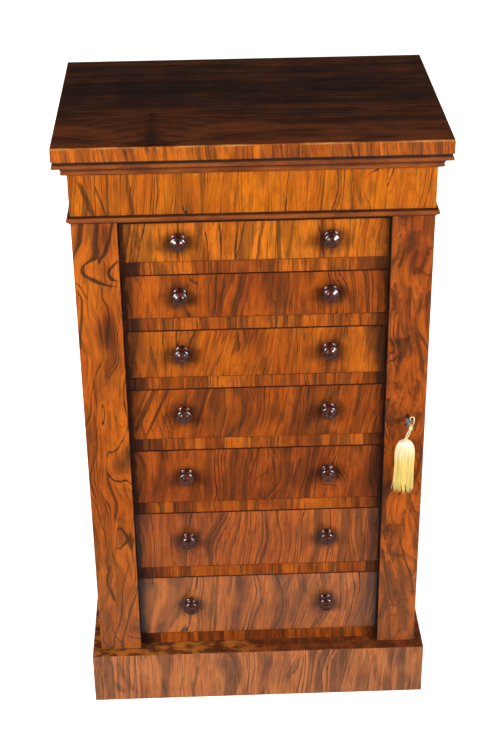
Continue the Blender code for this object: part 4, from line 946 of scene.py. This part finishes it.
def dress_case():
    set_material("top_board", top_material())
    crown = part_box("cornice_moulding")[1].z
    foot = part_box("astragal_moulding")[0].z
    set_material("cornice_moulding", moulding_material(
        "moulding_wood", (0.34, 0.082, 0.01), (0.13, 0.028, 0.006), 2,
        ((crown - 0.0047, crown + 0.01, 0.96), (crown - 0.0172, crown - 0.0112, 0.72),
         (crown - 0.035, crown - 0.025, 0.6))))
    set_material("astragal_moulding", moulding_material(
        "astragal_wood", (0.36, 0.088, 0.01), (0.15, 0.032, 0.006), 5,
        ((foot - 0.01, foot + 0.0022, 0.95), (foot + 0.0096, foot + 0.03, 0.88))))
    set_material("frieze_board", veneer(
        "veneer_frieze", 21, light=(0.68, 0.18, 0.004), mid=(0.5, 0.108, 0.004),
        deep=(0.24, 0.046, 0.004), smoke=0.45, dashes=0.45, lean=0.05,
        sheet=0.055, sheet_tone=0.3, joint=0.5, sway=0.016, swell=0.05, swell_scale=(22, 5),
        rings=210, light_share=0.8, broad=0.45, broad_share=0.72, mask=(0.36, 0.46), veins=1,
        grain=1,
        streaks=((-0.252, 0.965, 0.005, 0.03, 0.85, -0.35), (-0.232, 0.96, 0.002, 0.03, 0.8, -0.3),
            (-0.185, 0.968, 0.004, 0.04, 0.75, -0.1)),
        knots=((0.17, 0.975, 0.02, 0.02, 4),)))
    set_material("stile_left", stile_veneer(
        "veneer_stile_left", 33, 1, light=(0.6, 0.142, 0.009), mid=(0.4, 0.08, 0.007),
        sway=0.05, sway_scale=(8, 7), swell=0.18, swell_scale=(11, 5), rings=150,
        light_share=0.64, broad=0.7, broad_share=0.54, mask=(0.38, 0.48), veins=1,
        knots=((-0.252, 0.6, 0.013, 0.05, 4), (-0.238, 0.335, 0.012, 0.05, 3)),
        strokes=LEFT_STROKES, calm=((-0.245, 0.852, 0.06, 0.085, 0.9),),
        patches=((-0.23, 0.905, 0.01, 0.026, -0.9), (-0.23, 0.745, 0.01, 0.035, -0.8),
            (-0.256, 0.79, 0.016, 0.045, 0.8), (-0.248, 0.845, 0.012, 0.01, -0.3),
            (-0.256, 0.895, 0.007, 0.04, 0.9), (-0.268, 0.845, 0.008, 0.02, 0.7)),
        streaks=((-0.27, 0.5, 0.0024, 0.07, 0.8, 0.08, 1),
            (-0.24, 0.43, 0.003, 0.06, 0.8, -0.04, -1.5),
            (-0.262, 0.26, 0.0035, 0.06, 0.75, 0.1, 1))))
    set_material("locking_stile", stile_veneer(
        "veneer_stile_right", 47, -1, light=(0.54, 0.114, 0.009), mid=(0.29, 0.053, 0.006),
        sway=0.05, sway_scale=(9, 8), swell=0.14, swell_scale=(15, 6), rings=170,
        light_share=0.62, broad=0.75, broad_share=0.5, mask=(0.4, 0.5), burr=0.8,
        strokes=RIGHT_STROKES, calm=((0.246, 0.845, 0.05, 0.09, 0.7),),
        patches=((0.242, 0.878, 0.014, 0.024, -0.5), (0.262, 0.855, 0.01, 0.016, -0.3),
            (0.22, 0.89, 0.008, 0.03, 0.6), (0.232, 0.82, 0.014, 0.024, 0.7),
            (0.25, 0.3, 0.05, 0.18, 0.4)),
        streaks=((0.228, 0.7, 0.0035, 0.055, 0.75, 0.02), (0.262, 0.7, 0.003, 0.06, 0.75, -0.05))))
    set_material("plinth", plinth_material())
    for number, side in enumerate(SIDES):
        set_material("side_" + side, veneer(
            "veneer_side_" + side, 70 + 7 * number, light=(0.34, 0.085, 0.01),
            mid=(0.2, 0.045, 0.007), swell=0.16, swell_scale=(8, 1.8), rings=120))
    rails = [f"dustboard_{n}" for n in range(1, 7)] + ["bottom_board", "top_rail"]
    # Rails lower down are painted darker: painted shade, as the light falls off towards the foot
    for number, node in enumerate(rails):
        lower = number % 7 / 6
        set_material(node, rail_veneer(
            node, 80 + 5 * number, light=(0.62 - 0.16 * lower, 0.15 - 0.052 * lower, 0.008),
            mid=(0.41 - 0.13 * lower, 0.082 - 0.03 * lower, 0.006), sway=0.003, wiggle=0.002,
            swell=0.016, swell_scale=(45, 12), rings=230, light_share=0.66, broad=0.6,
            broad_share=0.6, mask=(0.4, 0.5), sheet=0.034, sheet_tone=0.8, joint=0.45))
    lining = lining_material("lining", (0.5, 0.29, 0.115), (0.26, 0.13, 0.045), 3, 'X')
    set_material("back_panel", lining_material(
        "back_boards", (0.42, 0.2, 0.075), (0.2, 0.085, 0.032), 8, 'Z', 0.16))
    set_material("lock_post", lining_material(
        "post", (0.36, 0.19, 0.07), (0.2, 0.095, 0.032), 5, 'Z', 0.2))
    for number in DRAWERS:
        set_material(f"drawer_{number}_box", lining)
        set_material(f"drawer_{number}_bottom", lining)


# What is different on each drawer front, from the top one down
DRAWER_VENEERS = [
    dict(light=(0.7, 0.19, 0.009), mid=(0.5, 0.104, 0.006), lean=0.05, light_share=0.78,
         broad=0.5, broad_share=0.68, rings=150, smoke=0.55, ends=0.15,
         patches=((0.02, 0.885, 0.07, 0.1, 0.4), (-0.17, 0.885, 0.05, 0.1, 0.35)),
         streaks=((0.04, 0.885, 0.0035, 0.06, 0.8, 0.02), (-0.118, 0.9, 0.0022, 0.06, 0.75),
             (-0.02, 0.885, 0.0016, 0.06, 0.7, 0.22), (0.105, 0.89, 0.0025, 0.06, 0.7, 0.05))),
    dict(light=(0.53, 0.112, 0.006), mid=(0.3, 0.052, 0.005), lean=0.03, light_share=0.68,
         swell_scale=(15, 5), patches=((-0.16, 0.79, 0.05, 0.08, 0.35),),
         streaks=((-0.056, 0.8, 0.0018, 0.05, 0.85), (-0.046, 0.79, 0.002, 0.05, 0.8, 0.05))),
    dict(light=(0.56, 0.132, 0.007), mid=(0.33, 0.062, 0.005), lean=0.12, light_share=0.68,
         swell_scale=(12, 4.5),
         patches=((-0.13, 0.69, 0.05, 0.06, 0.4), (0.175, 0.69, 0.02, 0.1, 0.5)),
         streaks=((-0.105, 0.7, 0.0024, 0.04, 0.75, 0.3),)),
    dict(light=(0.52, 0.11, 0.007), mid=(0.29, 0.052, 0.005), lean=0.22, light_share=0.64,
         swell_scale=(12, 4.5), swell=0.13, patches=((-0.17, 0.59, 0.05, 0.1, 0.3),),
         streaks=((-0.178, 0.59, 0.005, 0.05, 0.85, 0.4), (-0.16, 0.58, 0.003, 0.05, 0.8, 0.45),
             (-0.09, 0.59, 0.0024, 0.045, 0.75, 0.3))),
    dict(light=(0.46, 0.094, 0.009), mid=(0.25, 0.044, 0.006), lean=0.08, light_share=0.6,
         swell_scale=(12, 5), swell=0.14,
         streaks=((0.066, 0.455, 0.004, 0.034, 0.65, 0.15, 2),
             (0.03, 0.455, 0.0028, 0.04, 0.65, -0.1, -2))),
    dict(light=(0.52, 0.12, 0.012), mid=(0.3, 0.058, 0.007), lean=0.08, light_share=0.62,
         rings=200, swell_scale=(11, 4), coat=0.22, veins=1, mask=(0.32, 0.44),
         smoke=0.5, dashes=0.45, patches=((0.13, 0.32, 0.06, 0.1, 0.55),)),
    dict(light=(0.55, 0.158, 0.028), mid=(0.36, 0.092, 0.018), lean=0.14, light_share=0.62,
         rings=150, swell_scale=(10, 4), broad=0.7, coat=0.38, gloss=0.2, veins=1,
         dark=(0.042, 0.021, 0.014), mask=(0.32, 0.44), smoke=0.5, dashes=0.4, ends=0,
         patches=((-0.17, 0.19, 0.06, 0.1, 0.9),),
         lights=((-0.173, 0.185, 0.034, 0.045, 0.32, 0.3),),
         streaks=((0.045, 0.19, 0.007, 0.06, 0.6, 0.3, 1),
             (0.072, 0.19, 0.009, 0.06, 0.55, 0.34, 1.2),
             (-0.085, 0.19, 0.006, 0.05, 0.5, 0.1, -1))),
]


def dress_drawers():
    for number, changes in zip(DRAWERS, DRAWER_VENEERS):
        set_material(f"drawer_{number}_front", drawer_veneer(number, **changes))


def dress_metal():
    brass = metal_material("old_brass", (0.58, 0.38, 0.14), (0.25, 0.15, 0.06), 0.36, 1, 120)
    for node in ("pivot_top", "pivot_bottom", "lock_case", "lock_bolt"):
        set_material(node, brass)
    make_key(metal_material("dark_iron", (0.06, 0.052, 0.048), (0.014, 0.012, 0.011), 0.44,
                            0.85, 260))


dress_case()
dress_drawers()
dress_metal()
make_knobs(knob_material())
SILK = silk_material()
make_loop(SILK, make_tassel(SILK))
make_floor()
make_world()
for name, side in zip(SIDES, (-1, 1)):
    make_lamp("lamp_" + name, (side * 2, -1.35, 1.5), (0, -0.1, 0.6), (0.6, 0.8), 48)
    make_lamp("glow_" + name, (side * 1.6, -1.62, 1.25), (0, -0.1, 0.6), (1, 1), 380, True)
    make_lamp("back_" + name, (side * 1.7, 2.3, 1), (0, 0.2, 0.5), (1.2, 0.9), 42)
    bpy.data.objects["back_" + name].visible_glossy = False
make_camera()
bpy.context.scene.view_settings.view_transform = 'Standard'
